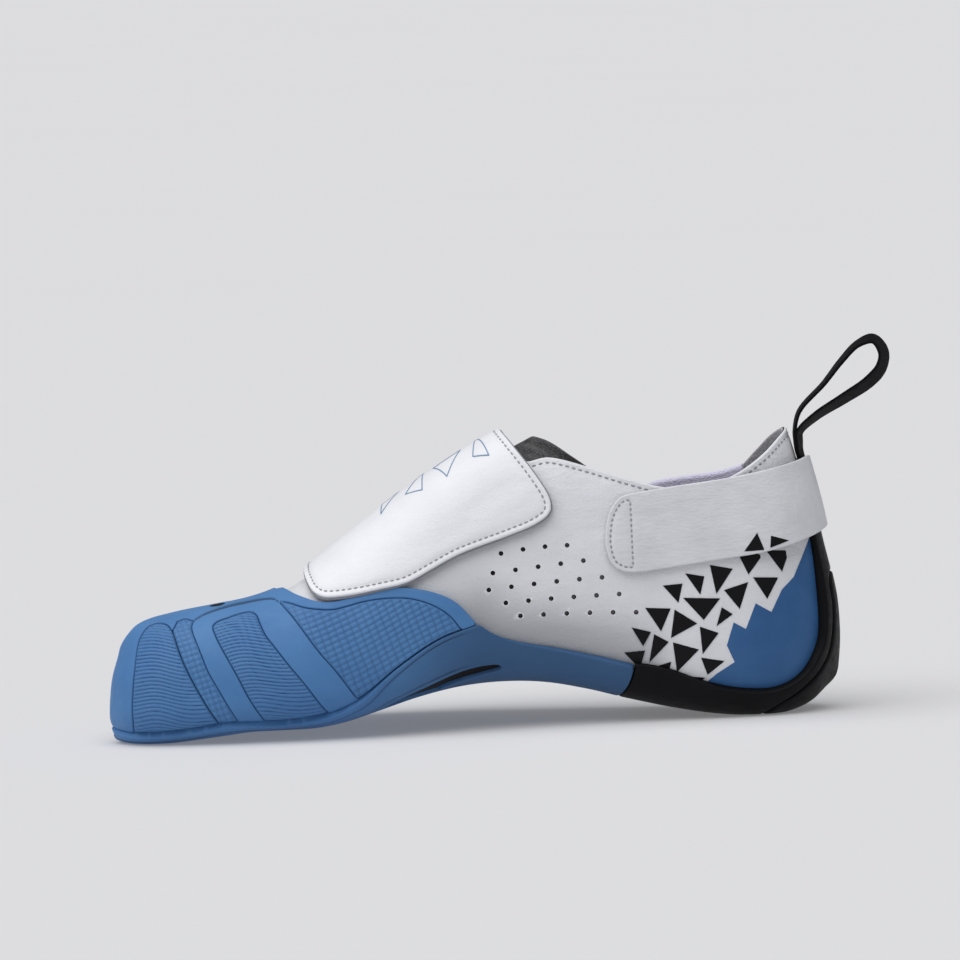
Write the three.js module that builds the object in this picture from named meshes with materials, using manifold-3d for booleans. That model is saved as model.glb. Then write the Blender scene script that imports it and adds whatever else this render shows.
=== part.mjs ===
// Climbing shoe for the right foot, with a rubber toe cap and sole, one wide instep strap and a heel strap.
// The shoe frame: x runs from the toe to the heel, y from the medial side (negative) to the lateral, z is up.
import * as THREE from "three";
import { mergeVertices } from "three/addons/utils/BufferGeometryUtils.js";
import Module from "manifold-3d";

const wasm = await Module();
wasm.setup();

// Driving sizes of the whole shoe, in millimetres
const SHOE_LENGTH = 247;
const BALL_WIDTH = 88;
const INSTEP_HEIGHT = 100;
const HEEL_HEIGHT = 97;

// Thicknesses and clearances
const CLEARANCE = 0.3;
const UPPER_WALL = 1.9;
const CAP_WALL = 2.1;
const PANEL_DEPTH = 0.5;
const SOLE_SIDE = 2.6;
const SOLE_BOTTOM = 4.0;
const RAND_WALL = 1.7;
const HEEL_BACK = 3.4;
const INLAY_DEPTH = 1.2;
const TONGUE_WALL = 1.5;
const INSOLE_WALL = 2.2;
const PAD_WALL = 1.8;
const STRAP_WALL = 1.8;
const STRAP_SEAT = 0.4;
const STRAP_LIFT = 3.2;
const HEEL_STRAP_WALL = 1.5;
const HEEL_STRAP_LIFT = 2.4;
const TAPE_WALL = 1.1;
const TAPE_WIDTH = 9.0;
const LASTING_MARGIN = 9.0;
const SLOT_REACH = 14.0;
const THROAT_FRONT_WIDTH = 5.0;
const THROAT_BACK_WIDTH = 26.0;

// How finely the form is faceted: stations from toe to heel, and steps around each section
const STATIONS = 30;
const STEPS = 24;

const COLOURS = {
  blue: 0x5479a6,
  black: 0x1c1c20,
  white: 0xe6e8ec,
  strap: 0xecedf0,
  heel: 0xdcdee2,
  knit: 0x323234,
  foam: 0xa19fb3,
  board: 0x3a3a3e,
};

// A table's rows as objects with named columns
const named = (columns, rows) =>
  rows.map((row) => Object.fromEntries(columns.map((name, i) => [name, row[i]])));

// Sections of the upper's outer surface. at: share of the form's length. medial, lateral and ridge: where the
// widest points and the top lie across, in shares of the ball width. base and top: heights, in shares of the
// shoe's height there. waist: how high the widest point sits. upper, lower: how full the quarters are.
const SECTIONS = named(["at", "medial", "lateral", "ridge", "base", "top", "waist", "upper", "lower"], [
  [0.0, -0.182, -0.182, -0.182, 0.05, 0.3, 0.45, 2.2, 2.8],
  [0.01, -0.29, -0.074, -0.185, 0.043, 0.352, 0.42, 2.3, 2.9],
  [0.02, -0.336, 0.0, -0.19, 0.039, 0.373, 0.39, 2.4, 3.0],
  [0.04, -0.385, 0.095, -0.195, 0.036, 0.39, 0.36, 2.4, 3.1],
  [0.08, -0.422, 0.212, -0.195, 0.038, 0.405, 0.34, 2.4, 3.2],
  [0.14, -0.45, 0.318, -0.19, 0.053, 0.425, 0.33, 2.3, 3.5],
  [0.2, -0.466, 0.395, -0.175, 0.066, 0.449, 0.31, 2.2, 3.6],
  [0.24, -0.47, 0.428, -0.16, 0.066, 0.482, 0.3, 2.1, 3.6],
  [0.28, -0.469, 0.455, -0.145, 0.068, 0.536, 0.28, 2.0, 3.6],
  [0.32, -0.461, 0.476, -0.125, 0.084, 0.599, 0.26, 1.95, 3.6],
  [0.36, -0.445, 0.488, -0.108, 0.111, 0.66, 0.24, 1.9, 3.5],
  [0.42, -0.41, 0.49, -0.085, 0.151, 0.754, 0.23, 1.88, 3.4],
  [0.48, -0.376, 0.478, -0.065, 0.178, 0.843, 0.22, 1.86, 3.3],
  [0.54, -0.344, 0.452, -0.045, 0.187, 0.922, 0.21, 1.86, 3.3],
  [0.6, -0.318, 0.424, -0.03, 0.178, 0.998, 0.22, 1.9, 3.3],
  [0.66, -0.302, 0.39, -0.018, 0.149, 1.09, 0.23, 1.98, 3.3],
  [0.72, -0.294, 0.357, -0.01, 0.109, 1.165, 0.24, 2.05, 3.3],
  [0.78, -0.293, 0.33, -0.004, 0.074, 1.215, 0.25, 2.1, 3.4],
  [0.84, -0.292, 0.31, 0.0, 0.048, 1.235, 0.26, 2.15, 3.4],
  [0.9, -0.28, 0.287, 0.0, 0.036, 1.22, 0.27, 2.2, 3.4],
  [0.94, -0.247, 0.249, 0.0, 0.043, 1.195, 0.27, 2.2, 3.2],
  [0.97, -0.192, 0.192, 0.0, 0.07, 1.16, 0.27, 2.2, 2.9],
  [0.99, -0.115, 0.115, 0.0, 0.115, 1.12, 0.26, 2.2, 2.3],
  [1.0, 0.0, 0.0, 0.0, 0.15, 1.08, 0.26, 2.2, 2.2],
]);

// How far the toe's front and the heel's back lean in at each height. up: share of the height,
// inset: share of the length.
const FRONT_LEAN = [
  { up: 0.0, inset: 0.012 },
  { up: 0.045, inset: 0.006 },
  { up: 0.09, inset: 0.0 },
  { up: 0.16, inset: 0.002 },
  { up: 0.22, inset: 0.006 },
  { up: 0.3, inset: 0.016 },
  { up: 0.36, inset: 0.019 },
  { up: 1.5, inset: 0.019 },
];
const BACK_LEAN = [
  { up: 0.0, inset: 0.012 },
  { up: 0.17, inset: 0.003 },
  { up: 0.27, inset: 0.0 },
  { up: 0.36, inset: 0.001 },
  { up: 0.5, inset: 0.006 },
  { up: 0.61, inset: 0.012 },
  { up: 0.72, inset: 0.02 },
  { up: 0.87, inset: 0.034 },
  { up: 0.98, inset: 0.046 },
  { up: 1.5, inset: 0.11 },
];
const LEAN_REACH = { front: 0.12, back: 0.25 };

// Side-view lines, each point as shares of the length and of the height there
const LINES = {
  // where the sole's edge meets the toe cap, from the toe to the arch
  foxing: [
    [-0.03, 0.076], [0.034, 0.061], [0.095, 0.068], [0.174, 0.093], [0.243, 0.093], [0.295, 0.108],
    [0.34, 0.148], [0.4, 0.244], [0.453, 0.32], [0.507, 0.363],
  ],
  // top edge of the sole's arch band, from the cap to the heel
  arch: [
    [0.507, 0.363], [0.526, 0.33], [0.552, 0.304], [0.617, 0.269], [0.676, 0.233], [0.717, 0.204],
  ],
  // back end of the blue sole
  soleEnd: [
    [0.717, 0.204], [0.711, 0.163], [0.7, 0.127], [0.68, 0.081], [0.65, -0.1],
  ],
  // top edge of the toe cap, from the toe's top to the arch, on the medial side and lower opposite
  capMedial: [
    [0.23, 0.505], [0.245, 0.505], [0.267, 0.485], [0.301, 0.463], [0.344, 0.477], [0.396, 0.501],
    [0.447, 0.481], [0.479, 0.442], [0.507, 0.363],
  ],
  capLateral: [
    [0.23, 0.5], [0.238, 0.465], [0.255, 0.435], [0.29, 0.412], [0.344, 0.415], [0.396, 0.432],
    [0.447, 0.425], [0.482, 0.398], [0.507, 0.363],
  ],
  // smooth border of the cap under its top edge
  border: [
    [0.232, 0.476], [0.256, 0.462], [0.283, 0.444], [0.312, 0.438], [0.344, 0.454], [0.396, 0.47],
    [0.447, 0.443], [0.469, 0.402], [0.478, 0.365],
  ],
  // ribbed panel at the toe's front
  panelFront: [
    [0.036, 0.08], [0.034, 0.136], [0.036, 0.222], [0.041, 0.306], [0.053, 0.362], [0.07, 0.392],
    [0.088, 0.388], [0.098, 0.359], [0.109, 0.281], [0.126, 0.185], [0.146, 0.098],
  ],
  // narrow padded panel behind it
  panelStrip: [
    [0.156, 0.108], [0.136, 0.19], [0.12, 0.283], [0.109, 0.358], [0.104, 0.4], [0.113, 0.42],
    [0.122, 0.405], [0.124, 0.358], [0.135, 0.278], [0.152, 0.19], [0.172, 0.106],
  ],
  // ribbed panel inside the smooth arch
  panelMiddle: [
    [0.207, 0.106], [0.177, 0.241], [0.16, 0.328], [0.151, 0.388], [0.17, 0.42], [0.193, 0.432],
    [0.209, 0.418], [0.226, 0.347], [0.254, 0.245], [0.291, 0.12],
  ],
  // front edge of the padded side panel
  panelSide: [
    [0.232, 0.476], [0.247, 0.447], [0.262, 0.39], [0.281, 0.324], [0.307, 0.24], [0.342, 0.162],
  ],
  // collar edge on the medial side, from the throat to the tip of the heel tab, and the lower one opposite
  collarMedial: [
    [0.545, 1.0], [0.56, 0.918], [0.58, 0.893], [0.611, 0.908], [0.668, 0.876], [0.713, 0.842],
    [0.769, 0.808], [0.822, 0.81], [0.864, 0.845], [0.903, 0.905], [0.933, 0.969], [0.972, 1.041],
  ],
  collarLateral: [
    [0.545, 1.0], [0.56, 0.9], [0.58, 0.86], [0.611, 0.856], [0.668, 0.805], [0.713, 0.763],
    [0.762, 0.744], [0.81, 0.766], [0.864, 0.812], [0.9, 0.9], [0.925, 0.965], [0.972, 1.041],
  ],
  // back edge of the tongue on both sides
  tongueMedial: [
    [0.567, 1.055], [0.597, 0.971], [0.629, 0.926], [0.668, 0.869], [0.69, 0.82],
  ],
  tongueLateral: [
    [0.567, 1.055], [0.597, 0.965], [0.629, 0.905], [0.668, 0.838], [0.69, 0.79],
  ],
  // lower edge of the tongue, inside the upper
  tongueLow: [
    [0.69, 0.79], [0.62, 0.76], [0.54, 0.72], [0.44, 0.6], [0.33, 0.47], [0.32, 0.52],
  ],
  // inner edge of the black heel rand, from its top down and forward to the sole's end
  rand: [
    [0.967, 0.655], [0.969, 0.614], [0.979, 0.452], [0.982, 0.339], [0.977, 0.237], [0.951, 0.137],
    [0.911, 0.086], [0.858, 0.09], [0.806, 0.13], [0.761, 0.181], [0.717, 0.204],
  ],
  // front edge of the heel bumper
  bumper: [
    [1.03, 0.5], [0.992, 0.479], [0.993, 0.364], [0.99, 0.26], [0.982, 0.189], [0.966, 0.13],
    [0.941, 0.075], [0.907, 0.025], [0.879, -0.021],
  ],
  // slot in the arch band on the medial side
  slot: [
    [0.35, 0.03], [0.37, 0.08], [0.381, 0.099], [0.433, 0.157], [0.481, 0.204], [0.514, 0.22],
    [0.534, 0.219], [0.537, 0.208], [0.509, 0.187], [0.473, 0.162], [0.452, 0.14], [0.44, 0.09], [0.432, 0.03],
  ],
  // instep strap, from its front corner round its lower edge and free end to its top back corner
  strapMedial: [
    [0.271, 0.585], [0.274, 0.55], [0.285, 0.502], [0.298, 0.483], [0.324, 0.482], [0.38, 0.501],
    [0.415, 0.518], [0.45, 0.559], [0.485, 0.6], [0.555, 0.656], [0.593, 0.693], [0.611, 0.729],
    [0.612, 0.768], [0.593, 0.854], [0.544, 1.011],
  ],
  strapLateral: [
    [0.271, 0.585], [0.281, 0.545], [0.304, 0.524], [0.421, 0.524], [0.526, 0.536], [0.555, 0.561],
    [0.569, 0.612], [0.575, 0.723], [0.569, 0.843], [0.544, 1.011],
  ],
  // heel strap, from the tab over its top edge to the back, then along its lower edge
  heelStrapTop: [
    [0.72, 0.789], [0.776, 0.812], [0.858, 0.838], [0.947, 0.876], [0.996, 0.903],
  ],
  heelStrapLow: [
    [0.996, 0.645], [0.972, 0.621], [0.906, 0.579], [0.829, 0.554], [0.73, 0.521],
  ],
  heelTab: [
    [0.73, 0.521], [0.708, 0.524], [0.692, 0.548], [0.685, 0.6], [0.685, 0.66], [0.692, 0.73],
    [0.706, 0.775], [0.72, 0.789],
  ],
  // soft pad inside the lateral collar
  pad: [
    [0.75, 0.62], [0.752, 0.752], [0.78, 0.758], [0.81, 0.776], [0.845, 0.806], [0.872, 0.842],
    [0.88, 0.68],
  ],
  // pull loop's tape: the strand that rises from the heel tab, and the one that comes back to it
  loopUp: [
    [0.951, 0.93], [0.948, 0.968], [0.957, 1.037], [0.992, 1.13], [1.017, 1.206], [1.04, 1.262],
    [1.062, 1.278], [1.075, 1.231],
  ],
  loopDown: [
    [1.062, 1.278], [1.075, 1.231], [1.071, 1.177], [1.054, 1.13], [1.018, 1.074], [0.98, 1.018],
    [0.95, 0.965], [0.953, 0.93],
  ],
};

// Height that a share is taken of: the instep's in front, the heel's behind
function heightAt(along) {
  return THREE.MathUtils.lerp(INSTEP_HEIGHT, HEEL_HEIGHT, THREE.MathUtils.smoothstep(along, 0.5, 0.85));
}

const FORM_FRONT = CLEARANCE + SOLE_SIDE;
const FORM_LENGTH = SHOE_LENGTH - FORM_FRONT - CLEARANCE - HEEL_BACK;

// Value of a table's column between its rows, on a smooth curve over the given key
function readColumn(table, key, column, at, spread = (v) => v) {
  let row = 0;
  while (row < table.length - 2 && at > table[row + 1][key]) {
    row += 1;
  }
  const before = table[Math.max(row - 1, 0)];
  const from = table[row];
  const to = table[row + 1];
  const after = table[Math.min(row + 2, table.length - 1)];
  const a = spread(from[key]);
  const b = spread(to[key]);
  const slope = (low, high) => {
    const run = spread(high[key]) - spread(low[key]);
    return (high[column] - low[column]) / Math.max(run, 1e-9);
  };
  const mid = slope(from, to);
  const start = mid * slope(before, from) > 0 ? slope(before, to) : 0;
  const end = mid * slope(to, after) > 0 ? slope(from, after) : 0;
  const first = row === 0 ? mid : start;
  const last = row === table.length - 2 ? mid : end;
  const t = THREE.MathUtils.clamp((spread(at) - a) / (b - a), 0, 1);
  const gap = b - a;
  return (
    from[column] * (2 * t ** 3 - 3 * t ** 2 + 1) +
    first * gap * (t ** 3 - 2 * t ** 2 + t) +
    to[column] * (3 * t ** 2 - 2 * t ** 3) +
    last * gap * (t ** 3 - t ** 2)
  );
}

// Stations lie closer together at both round ends
const toAngle = (at) => Math.acos(1 - 2 * THREE.MathUtils.clamp(at, 0, 1));
const fromAngle = (angle) => (1 - Math.cos(angle)) / 2;

function sectionAt(at) {
  const height = heightAt((FORM_FRONT + at * FORM_LENGTH) / SHOE_LENGTH);
  const read = (column) => readColumn(SECTIONS, "at", column, at, toAngle);
  const medial = read("medial") * BALL_WIDTH;
  const lateral = read("lateral") * BALL_WIDTH;
  const base = read("base") * height;
  const top = read("top") * height;
  return {
    medial,
    lateral,
    base,
    top,
    keel: (medial + lateral) / 2,
    ridge: read("ridge") * BALL_WIDTH,
    waist: base + (top - base) * read("waist"),
    upper: read("upper"),
    lower: read("lower"),
  };
}

function lean(at, z) {
  const up = z / heightAt((FORM_FRONT + at * FORM_LENGTH) / SHOE_LENGTH);
  const front = readColumn(FRONT_LEAN, "up", "inset", up);
  const back = readColumn(BACK_LEAN, "up", "inset", up);
  const frontFade = 1 - THREE.MathUtils.smoothstep(at, 0, LEAN_REACH.front);
  const backFade = 1 - THREE.MathUtils.smoothstep(1 - at, 0, LEAN_REACH.back);
  return (front * frontFade - back * backFade) * SHOE_LENGTH;
}

// Point of the form: turn runs from 0 at the keel up the lateral side, over the top at 0.5 and down to 1
function formPoint(angle, turn) {
  const at = fromAngle(Math.abs(angle));
  const s = sectionAt(at);
  const whole = ((turn % 1) + 1) % 1;
  const side = whole <= 0.5 ? s.lateral : s.medial;
  const rise = whole <= 0.5 ? whole * 2 : 2 - whole * 2;
  let y;
  let z;
  if (rise <= 0.5) {
    const phi = rise * Math.PI;
    y = s.keel + (side - s.keel) * Math.sin(phi) ** (2 / s.lower);
    z = s.waist - (s.waist - s.base) * Math.cos(phi) ** (2 / s.lower);
  } else {
    const phi = (rise - 0.5) * Math.PI;
    y = s.ridge + (side - s.ridge) * Math.max(Math.cos(phi), 0) ** (2 / s.upper);
    z = s.waist + (s.top - s.waist) * Math.sin(phi) ** (2 / s.upper);
  }
  return new THREE.Vector3(FORM_FRONT + at * FORM_LENGTH + lean(at, z), y, z);
}

function formNormal(angle, turn) {
  const nudge = 0.3;
  const da = (nudge * Math.PI) / STATIONS;
  const dt = nudge / STEPS;
  const along = formPoint(Math.min(angle + da, Math.PI), turn).sub(formPoint(Math.max(angle - da, 0), turn));
  const around = formPoint(angle, turn + dt).sub(formPoint(angle, turn - dt));
  return along.cross(around).negate().normalize();
}

// Grid of the form's points and outward normals, worked out once
const GRID = [];
for (let i = 0; i <= STATIONS; i += 1) {
  const angle = (Math.PI * i) / STATIONS;
  const atEnd = i === 0 || i === STATIONS;
  const ring = [];
  for (let j = 0; j < STEPS; j += 1) {
    const turn = j / STEPS;
    const point = formPoint(angle, turn);
    const normal = formNormal(angle, turn);
    if (atEnd) {
      const twin = formPoint(angle, 1 - turn);
      point.add(twin).multiplyScalar(0.5);
      normal.add(formNormal(angle, 1 - turn));
      normal.y = 0;
      normal.normalize();
    }
    ring.push({ at: fromAngle(angle), point, normal });
  }
  GRID.push(ring);
}

// Closed three.js mesh data as a solid
function toSolid(geometry) {
  geometry.deleteAttribute("normal");
  geometry.deleteAttribute("uv");
  const merged = mergeVertices(geometry, 1e-4);
  return new wasm.Manifold(
    new wasm.Mesh({
      numProp: 3,
      vertProperties: new Float32Array(merged.attributes.position.array),
      triVerts: new Uint32Array(merged.index.array),
    }),
  );
}

// Solid of the form, moved out (or in) along its normals by a distance that may vary over it
function formSolid(distance) {
  const positions = [];
  const ids = [];
  GRID.forEach((ring, i) => {
    const atEnd = i === 0 || i === STATIONS;
    ids.push(
      ring.map((node, j) => {
        if (atEnd && j > STEPS / 2) {
          return -1;
        }
        const away = typeof distance === "number" ? distance : distance(node);
        const moved = node.point.clone().addScaledVector(node.normal, away);
        positions.push(moved.x, moved.y, moved.z);
        return positions.length / 3 - 1;
      }),
    );
    if (atEnd) {
      for (let j = STEPS / 2 + 1; j < STEPS; j += 1) {
        ids[i][j] = ids[i][STEPS - j];
      }
    }
  });
  const faces = [];
  const addFace = (a, b, c) => {
    if (a !== b && b !== c && a !== c) {
      faces.push(a, b, c);
    }
  };
  for (let i = 0; i < STATIONS; i += 1) {
    for (let j = 0; j < STEPS; j += 1) {
      const k = (j + 1) % STEPS;
      addFace(ids[i][j], ids[i + 1][k], ids[i + 1][j]);
      addFace(ids[i][j], ids[i][k], ids[i + 1][k]);
    }
  }
  const geometry = new THREE.BufferGeometry();
  geometry.setAttribute("position", new THREE.Float32BufferAttribute(positions, 3));
  geometry.setIndex(faces);
  return toSolid(geometry);
}

// Layer between two distances from the form
function layer(inner, outer) {
  return formSolid(outer).subtract(formSolid(inner));
}

// Smooth side-view line in millimetres through a line's points
function sideLine(name, perSpan = 2) {
  const points = LINES[name].map(
    ([along, up]) => new THREE.Vector3(along * SHOE_LENGTH, up * heightAt(along), 0),
  );
  return new THREE.CatmullRomCurve3(points, false, "centripetal")
    .getPoints((points.length - 1) * perSpan)
    .map((p) => new THREE.Vector2(p.x, p.y));
}

const sidePoint = (along, up) => new THREE.Vector2(along * SHOE_LENGTH, up * heightAt(along));

// Outline moved outwards by a distance
function grow(points, distance) {
  const turnsLeft = THREE.ShapeUtils.area(points) > 0;
  const count = points.length;
  return points.map((p, i) => {
    const before = points[(i + count - 1) % count];
    const after = points[(i + 1) % count];
    const d1 = p.clone().sub(before).normalize();
    const d2 = after.clone().sub(p).normalize();
    const n1 = turnsLeft ? new THREE.Vector2(d1.y, -d1.x) : new THREE.Vector2(-d1.y, d1.x);
    const n2 = turnsLeft ? new THREE.Vector2(d2.y, -d2.x) : new THREE.Vector2(-d2.y, d2.x);
    const out = n1.add(n2).normalize();
    return p.clone().addScaledVector(out, distance);
  });
}

// Outline of a ribbon of a given thickness along an open line
function ribbon(points, thickness) {
  const edge = (side) =>
    points.map((p, i) => {
      const before = points[Math.max(i - 1, 0)];
      const after = points[Math.min(i + 1, points.length - 1)];
      const along = after.clone().sub(before).normalize();
      const reach = (side * thickness) / 2;
      return new THREE.Vector2(p.x - along.y * reach, p.y + along.x * reach);
    });
  return [...edge(1), ...edge(-1).reverse()];
}

const ACROSS = BALL_WIDTH;

// Side-view outline drawn through the shoe from one y to another
function sidePrism(points, from = -ACROSS, to = ACROSS) {
  const geometry = new THREE.ExtrudeGeometry(new THREE.Shape(points), {
    depth: to - from,
    bevelEnabled: false,
    steps: 1,
  });
  geometry.rotateX(Math.PI / 2);
  geometry.translate(0, to, 0);
  return toSolid(geometry);
}

// Plan-view outline drawn upwards from one z to another
function planPrism(points, from, to) {
  const geometry = new THREE.ExtrudeGeometry(new THREE.Shape(points), {
    depth: to - from,
    bevelEnabled: false,
    steps: 1,
  });
  geometry.translate(0, 0, from);
  return toSolid(geometry);
}

const ABOVE = 1.5;
const BELOW = -0.12;
const downness = (normal) => THREE.MathUtils.smoothstep(-normal.z, 0.3, 0.9);
const upness = (normal) => THREE.MathUtils.smoothstep(normal.z, 0.0, 0.75);

// Everything under the floor plane
const ground = planPrism(
  [
    new THREE.Vector2(-SHOE_LENGTH, -2 * BALL_WIDTH),
    new THREE.Vector2(2 * SHOE_LENGTH, -2 * BALL_WIDTH),
    new THREE.Vector2(2 * SHOE_LENGTH, 2 * BALL_WIDTH),
    new THREE.Vector2(-SHOE_LENGTH, 2 * BALL_WIDTH),
  ],
  -INSTEP_HEIGHT,
  0,
);

// Outline of the sole in side view, below the foxing line and the arch band's top edge
const soleOutline = [
  ...sideLine("foxing"),
  ...sideLine("arch").slice(1),
  ...sideLine("soleEnd").slice(1),
  sidePoint(-0.03, BELOW),
];

// Outline of the toe cap, up to one side's top edge and over the toe
const capOutline = (top) => [
  sidePoint(-0.03, ABOVE),
  sidePoint(-0.03, 0),
  sidePoint(0.52, 0),
  ...sideLine(top).reverse(),
  sidePoint(0.23, ABOVE),
];

const bumperOutline = [
  ...sideLine("bumper"),
  sidePoint(0.879, BELOW),
  sidePoint(1.06, BELOW),
  sidePoint(1.06, 0.5),
];

const randOutline = [
  ...sideLine("rand"),
  ...sideLine("soleEnd").slice(1),
  sidePoint(1.06, BELOW),
  sidePoint(1.06, 0.655),
];

const slotOutline = sideLine("slot", 1);
const SLOT_END = sectionAt(0.4).medial + SLOT_REACH;

// Upper: one hollow shell, open at the collar, down the throat and underneath
function makeUpper() {
  const shell = layer(-UPPER_WALL, 0);
  const over = [sidePoint(1.1, ABOVE), sidePoint(0.545, ABOVE)];
  const collarMedial = sidePrism([...sideLine("collarMedial"), ...over], -ACROSS, 0);
  const collarLateral = sidePrism([...sideLine("collarLateral"), ...over], 0, ACROSS);
  const throatFront = 0.35 * SHOE_LENGTH;
  const throatBack = 0.66 * SHOE_LENGTH;
  const centre = (x) => sectionAt((x - FORM_FRONT) / FORM_LENGTH).ridge;
  const throat = [
    new THREE.Vector2(throatFront, centre(throatFront) - THROAT_FRONT_WIDTH / 2),
    new THREE.Vector2(throatBack, centre(throatBack) - THROAT_BACK_WIDTH / 2),
    new THREE.Vector2(throatBack, centre(throatBack) + THROAT_BACK_WIDTH / 2),
    new THREE.Vector2(throatFront, centre(throatFront) + THROAT_FRONT_WIDTH / 2),
  ];
  const underRows = [0.05, 0.08, 0.14, 0.2, 0.28, 0.36, 0.45, 0.54, 0.63, 0.72, 0.81, 0.88, 0.93];
  const row = (at, side) => {
    const s = sectionAt(at);
    const y = side < 0 ? s.medial + LASTING_MARGIN : s.lateral - LASTING_MARGIN;
    return new THREE.Vector2(FORM_FRONT + at * FORM_LENGTH, y);
  };
  const under = [
    ...underRows.map((at) => row(at, -1)),
    ...underRows
      .slice()
      .reverse()
      .map((at) => row(at, 1)),
  ];
  return shell
    .subtract(collarMedial)
    .subtract(collarLateral)
    .subtract(planPrism(throat, 0.45 * INSTEP_HEIGHT, ABOVE * INSTEP_HEIGHT))
    .subtract(planPrism(under, -0.05 * INSTEP_HEIGHT, 0.25 * INSTEP_HEIGHT));
}

// Outer surface of the sole's rubber: thin on the side, thick underneath
const soleDistance = (node) =>
  CLEARANCE + THREE.MathUtils.lerp(SOLE_SIDE, SOLE_BOTTOM, downness(node.normal));

function makeOutsole() {
  return layer(CLEARANCE, soleDistance)
    .intersect(sidePrism(soleOutline))
    .subtract(sidePrism(slotOutline, -ACROSS, SLOT_END))
    .subtract(ground);
}

// Black insert that shows in the sole's slot, a little under its edge
function makeArchInlay() {
  return layer(CLEARANCE, (node) => soleDistance(node) - INLAY_DEPTH)
    .intersect(sidePrism(grow(slotOutline, -CLEARANCE), -ACROSS, SLOT_END - CLEARANCE));
}

function makeToeCap() {
  const wall = layer(CLEARANCE, CLEARANCE + CAP_WALL);
  const split = sectionAt(0.22).ridge;
  const lateral = sidePrism(capOutline("capLateral"), split, ACROSS);
  const panels = layer(CLEARANCE + CAP_WALL - PANEL_DEPTH, CLEARANCE + 2 * CAP_WALL);
  const sidePanel = [
    ...sideLine("panelSide", 1),
    ...grow(soleOutline, 1.5)
      .filter((p) => p.x > 0.345 * SHOE_LENGTH && p.x < 0.47 * SHOE_LENGTH && p.y > 0)
      .sort((a, b) => a.x - b.x),
    ...sideLine("border", 1).reverse(),
  ];
  return wall
    .intersect(sidePrism(capOutline("capMedial"), -ACROSS, split + CAP_WALL).add(lateral))
    .subtract(sidePrism(grow(soleOutline, CLEARANCE)))
    .subtract(panels.intersect(sidePrism(sideLine("panelFront", 1))))
    .subtract(panels.intersect(sidePrism(sideLine("panelStrip", 1))))
    .subtract(panels.intersect(sidePrism(sideLine("panelMiddle", 1))))
    .subtract(panels.intersect(sidePrism(sidePanel, -ACROSS, split)));
}

// Outer surface of the heel's rubber: thin at the sides, thicker low at the back and underneath
const heelDistance = (node) => {
  const back = THREE.MathUtils.smoothstep(node.normal.x, 0.2, 0.9);
  const low = 1 - THREE.MathUtils.smoothstep(node.point.z / HEEL_HEIGHT, 0.36, 0.62);
  const side = THREE.MathUtils.lerp(RAND_WALL, HEEL_BACK, back * low);
  return CLEARANCE + THREE.MathUtils.lerp(side, SOLE_BOTTOM, downness(node.normal));
};

function makeHeelRand() {
  return layer(CLEARANCE, heelDistance)
    .intersect(sidePrism(randOutline))
    .subtract(sidePrism(grow(soleOutline, CLEARANCE)))
    .subtract(sidePrism(grow(bumperOutline, CLEARANCE)))
    .subtract(ground);
}

function makeHeelBumper() {
  return layer(CLEARANCE, heelDistance).intersect(sidePrism(bumperOutline)).subtract(ground);
}

const LINING = -UPPER_WALL - CLEARANCE;

function makeTongue() {
  const around = (back) => [...sideLine(back), ...sideLine("tongueLow"), sidePoint(0.32, ABOVE)];
  const medial = sidePrism(around("tongueMedial"), -ACROSS, TONGUE_WALL);
  const lateral = sidePrism(around("tongueLateral"), 0, ACROSS);
  return layer(LINING - TONGUE_WALL, LINING).intersect(medial.add(lateral));
}

// Insole: fills the bottom of the inside up to a footbed that is level across
function makeInsole() {
  const rows = [0, 0.02, 0.05, 0.1, 0.16, 0.24, 0.28, 0.32, 0.38, 0.46, 0.54, 0.62, 0.7, 0.78, 0.86, 0.92, 1];
  const footbed = rows.map(
    (at) => new THREE.Vector2(FORM_FRONT + at * FORM_LENGTH, sectionAt(at).base - LINING + INSOLE_WALL),
  );
  const outline = [...footbed, sidePoint(1.05, BELOW), sidePoint(-0.05, BELOW)];
  return formSolid(LINING).intersect(sidePrism(outline));
}

// Soft pad on the lateral side of the collar, inside
function makeCollarPad() {
  return layer(LINING - PAD_WALL, LINING).intersect(sidePrism(sideLine("pad"), 0, ACROSS));
}

// The strap lies on the upper at its edges and bridges the throat over the tongue
const strapDistance = (node) => {
  const along = THREE.MathUtils.smoothstep(node.at, 0.12, 0.5);
  return CLEARANCE + STRAP_SEAT + STRAP_LIFT * along * upness(node.normal);
};

function makeInstepStrap() {
  const wall = layer(strapDistance, (node) => strapDistance(node) + STRAP_WALL);
  const over = [sidePoint(0.544, ABOVE), sidePoint(0.255, ABOVE)];
  const split = sectionAt(0.45).ridge;
  const medial = sidePrism([...sideLine("strapMedial"), ...over], -ACROSS, split + STRAP_WALL);
  const lateral = sidePrism([...sideLine("strapLateral"), ...over], split - STRAP_WALL, ACROSS);
  return wall.intersect(medial.add(lateral));
}

// The heel strap is sewn down at its tabs and stands off behind the heel
const heelStrapDistance = (node) =>
  CLEARANCE + STRAP_SEAT + HEEL_STRAP_LIFT * THREE.MathUtils.smoothstep(node.at, 0.86, 0.965);

function makeHeelStrap() {
  const outline = [
    ...sideLine("heelStrapTop"),
    sidePoint(1.08, 0.915),
    sidePoint(1.08, 0.648),
    ...sideLine("heelStrapLow"),
    ...sideLine("heelTab").slice(1, -1),
  ];
  return layer(heelStrapDistance, (node) => heelStrapDistance(node) + HEEL_STRAP_WALL)
    .intersect(sidePrism(outline));
}

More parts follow.
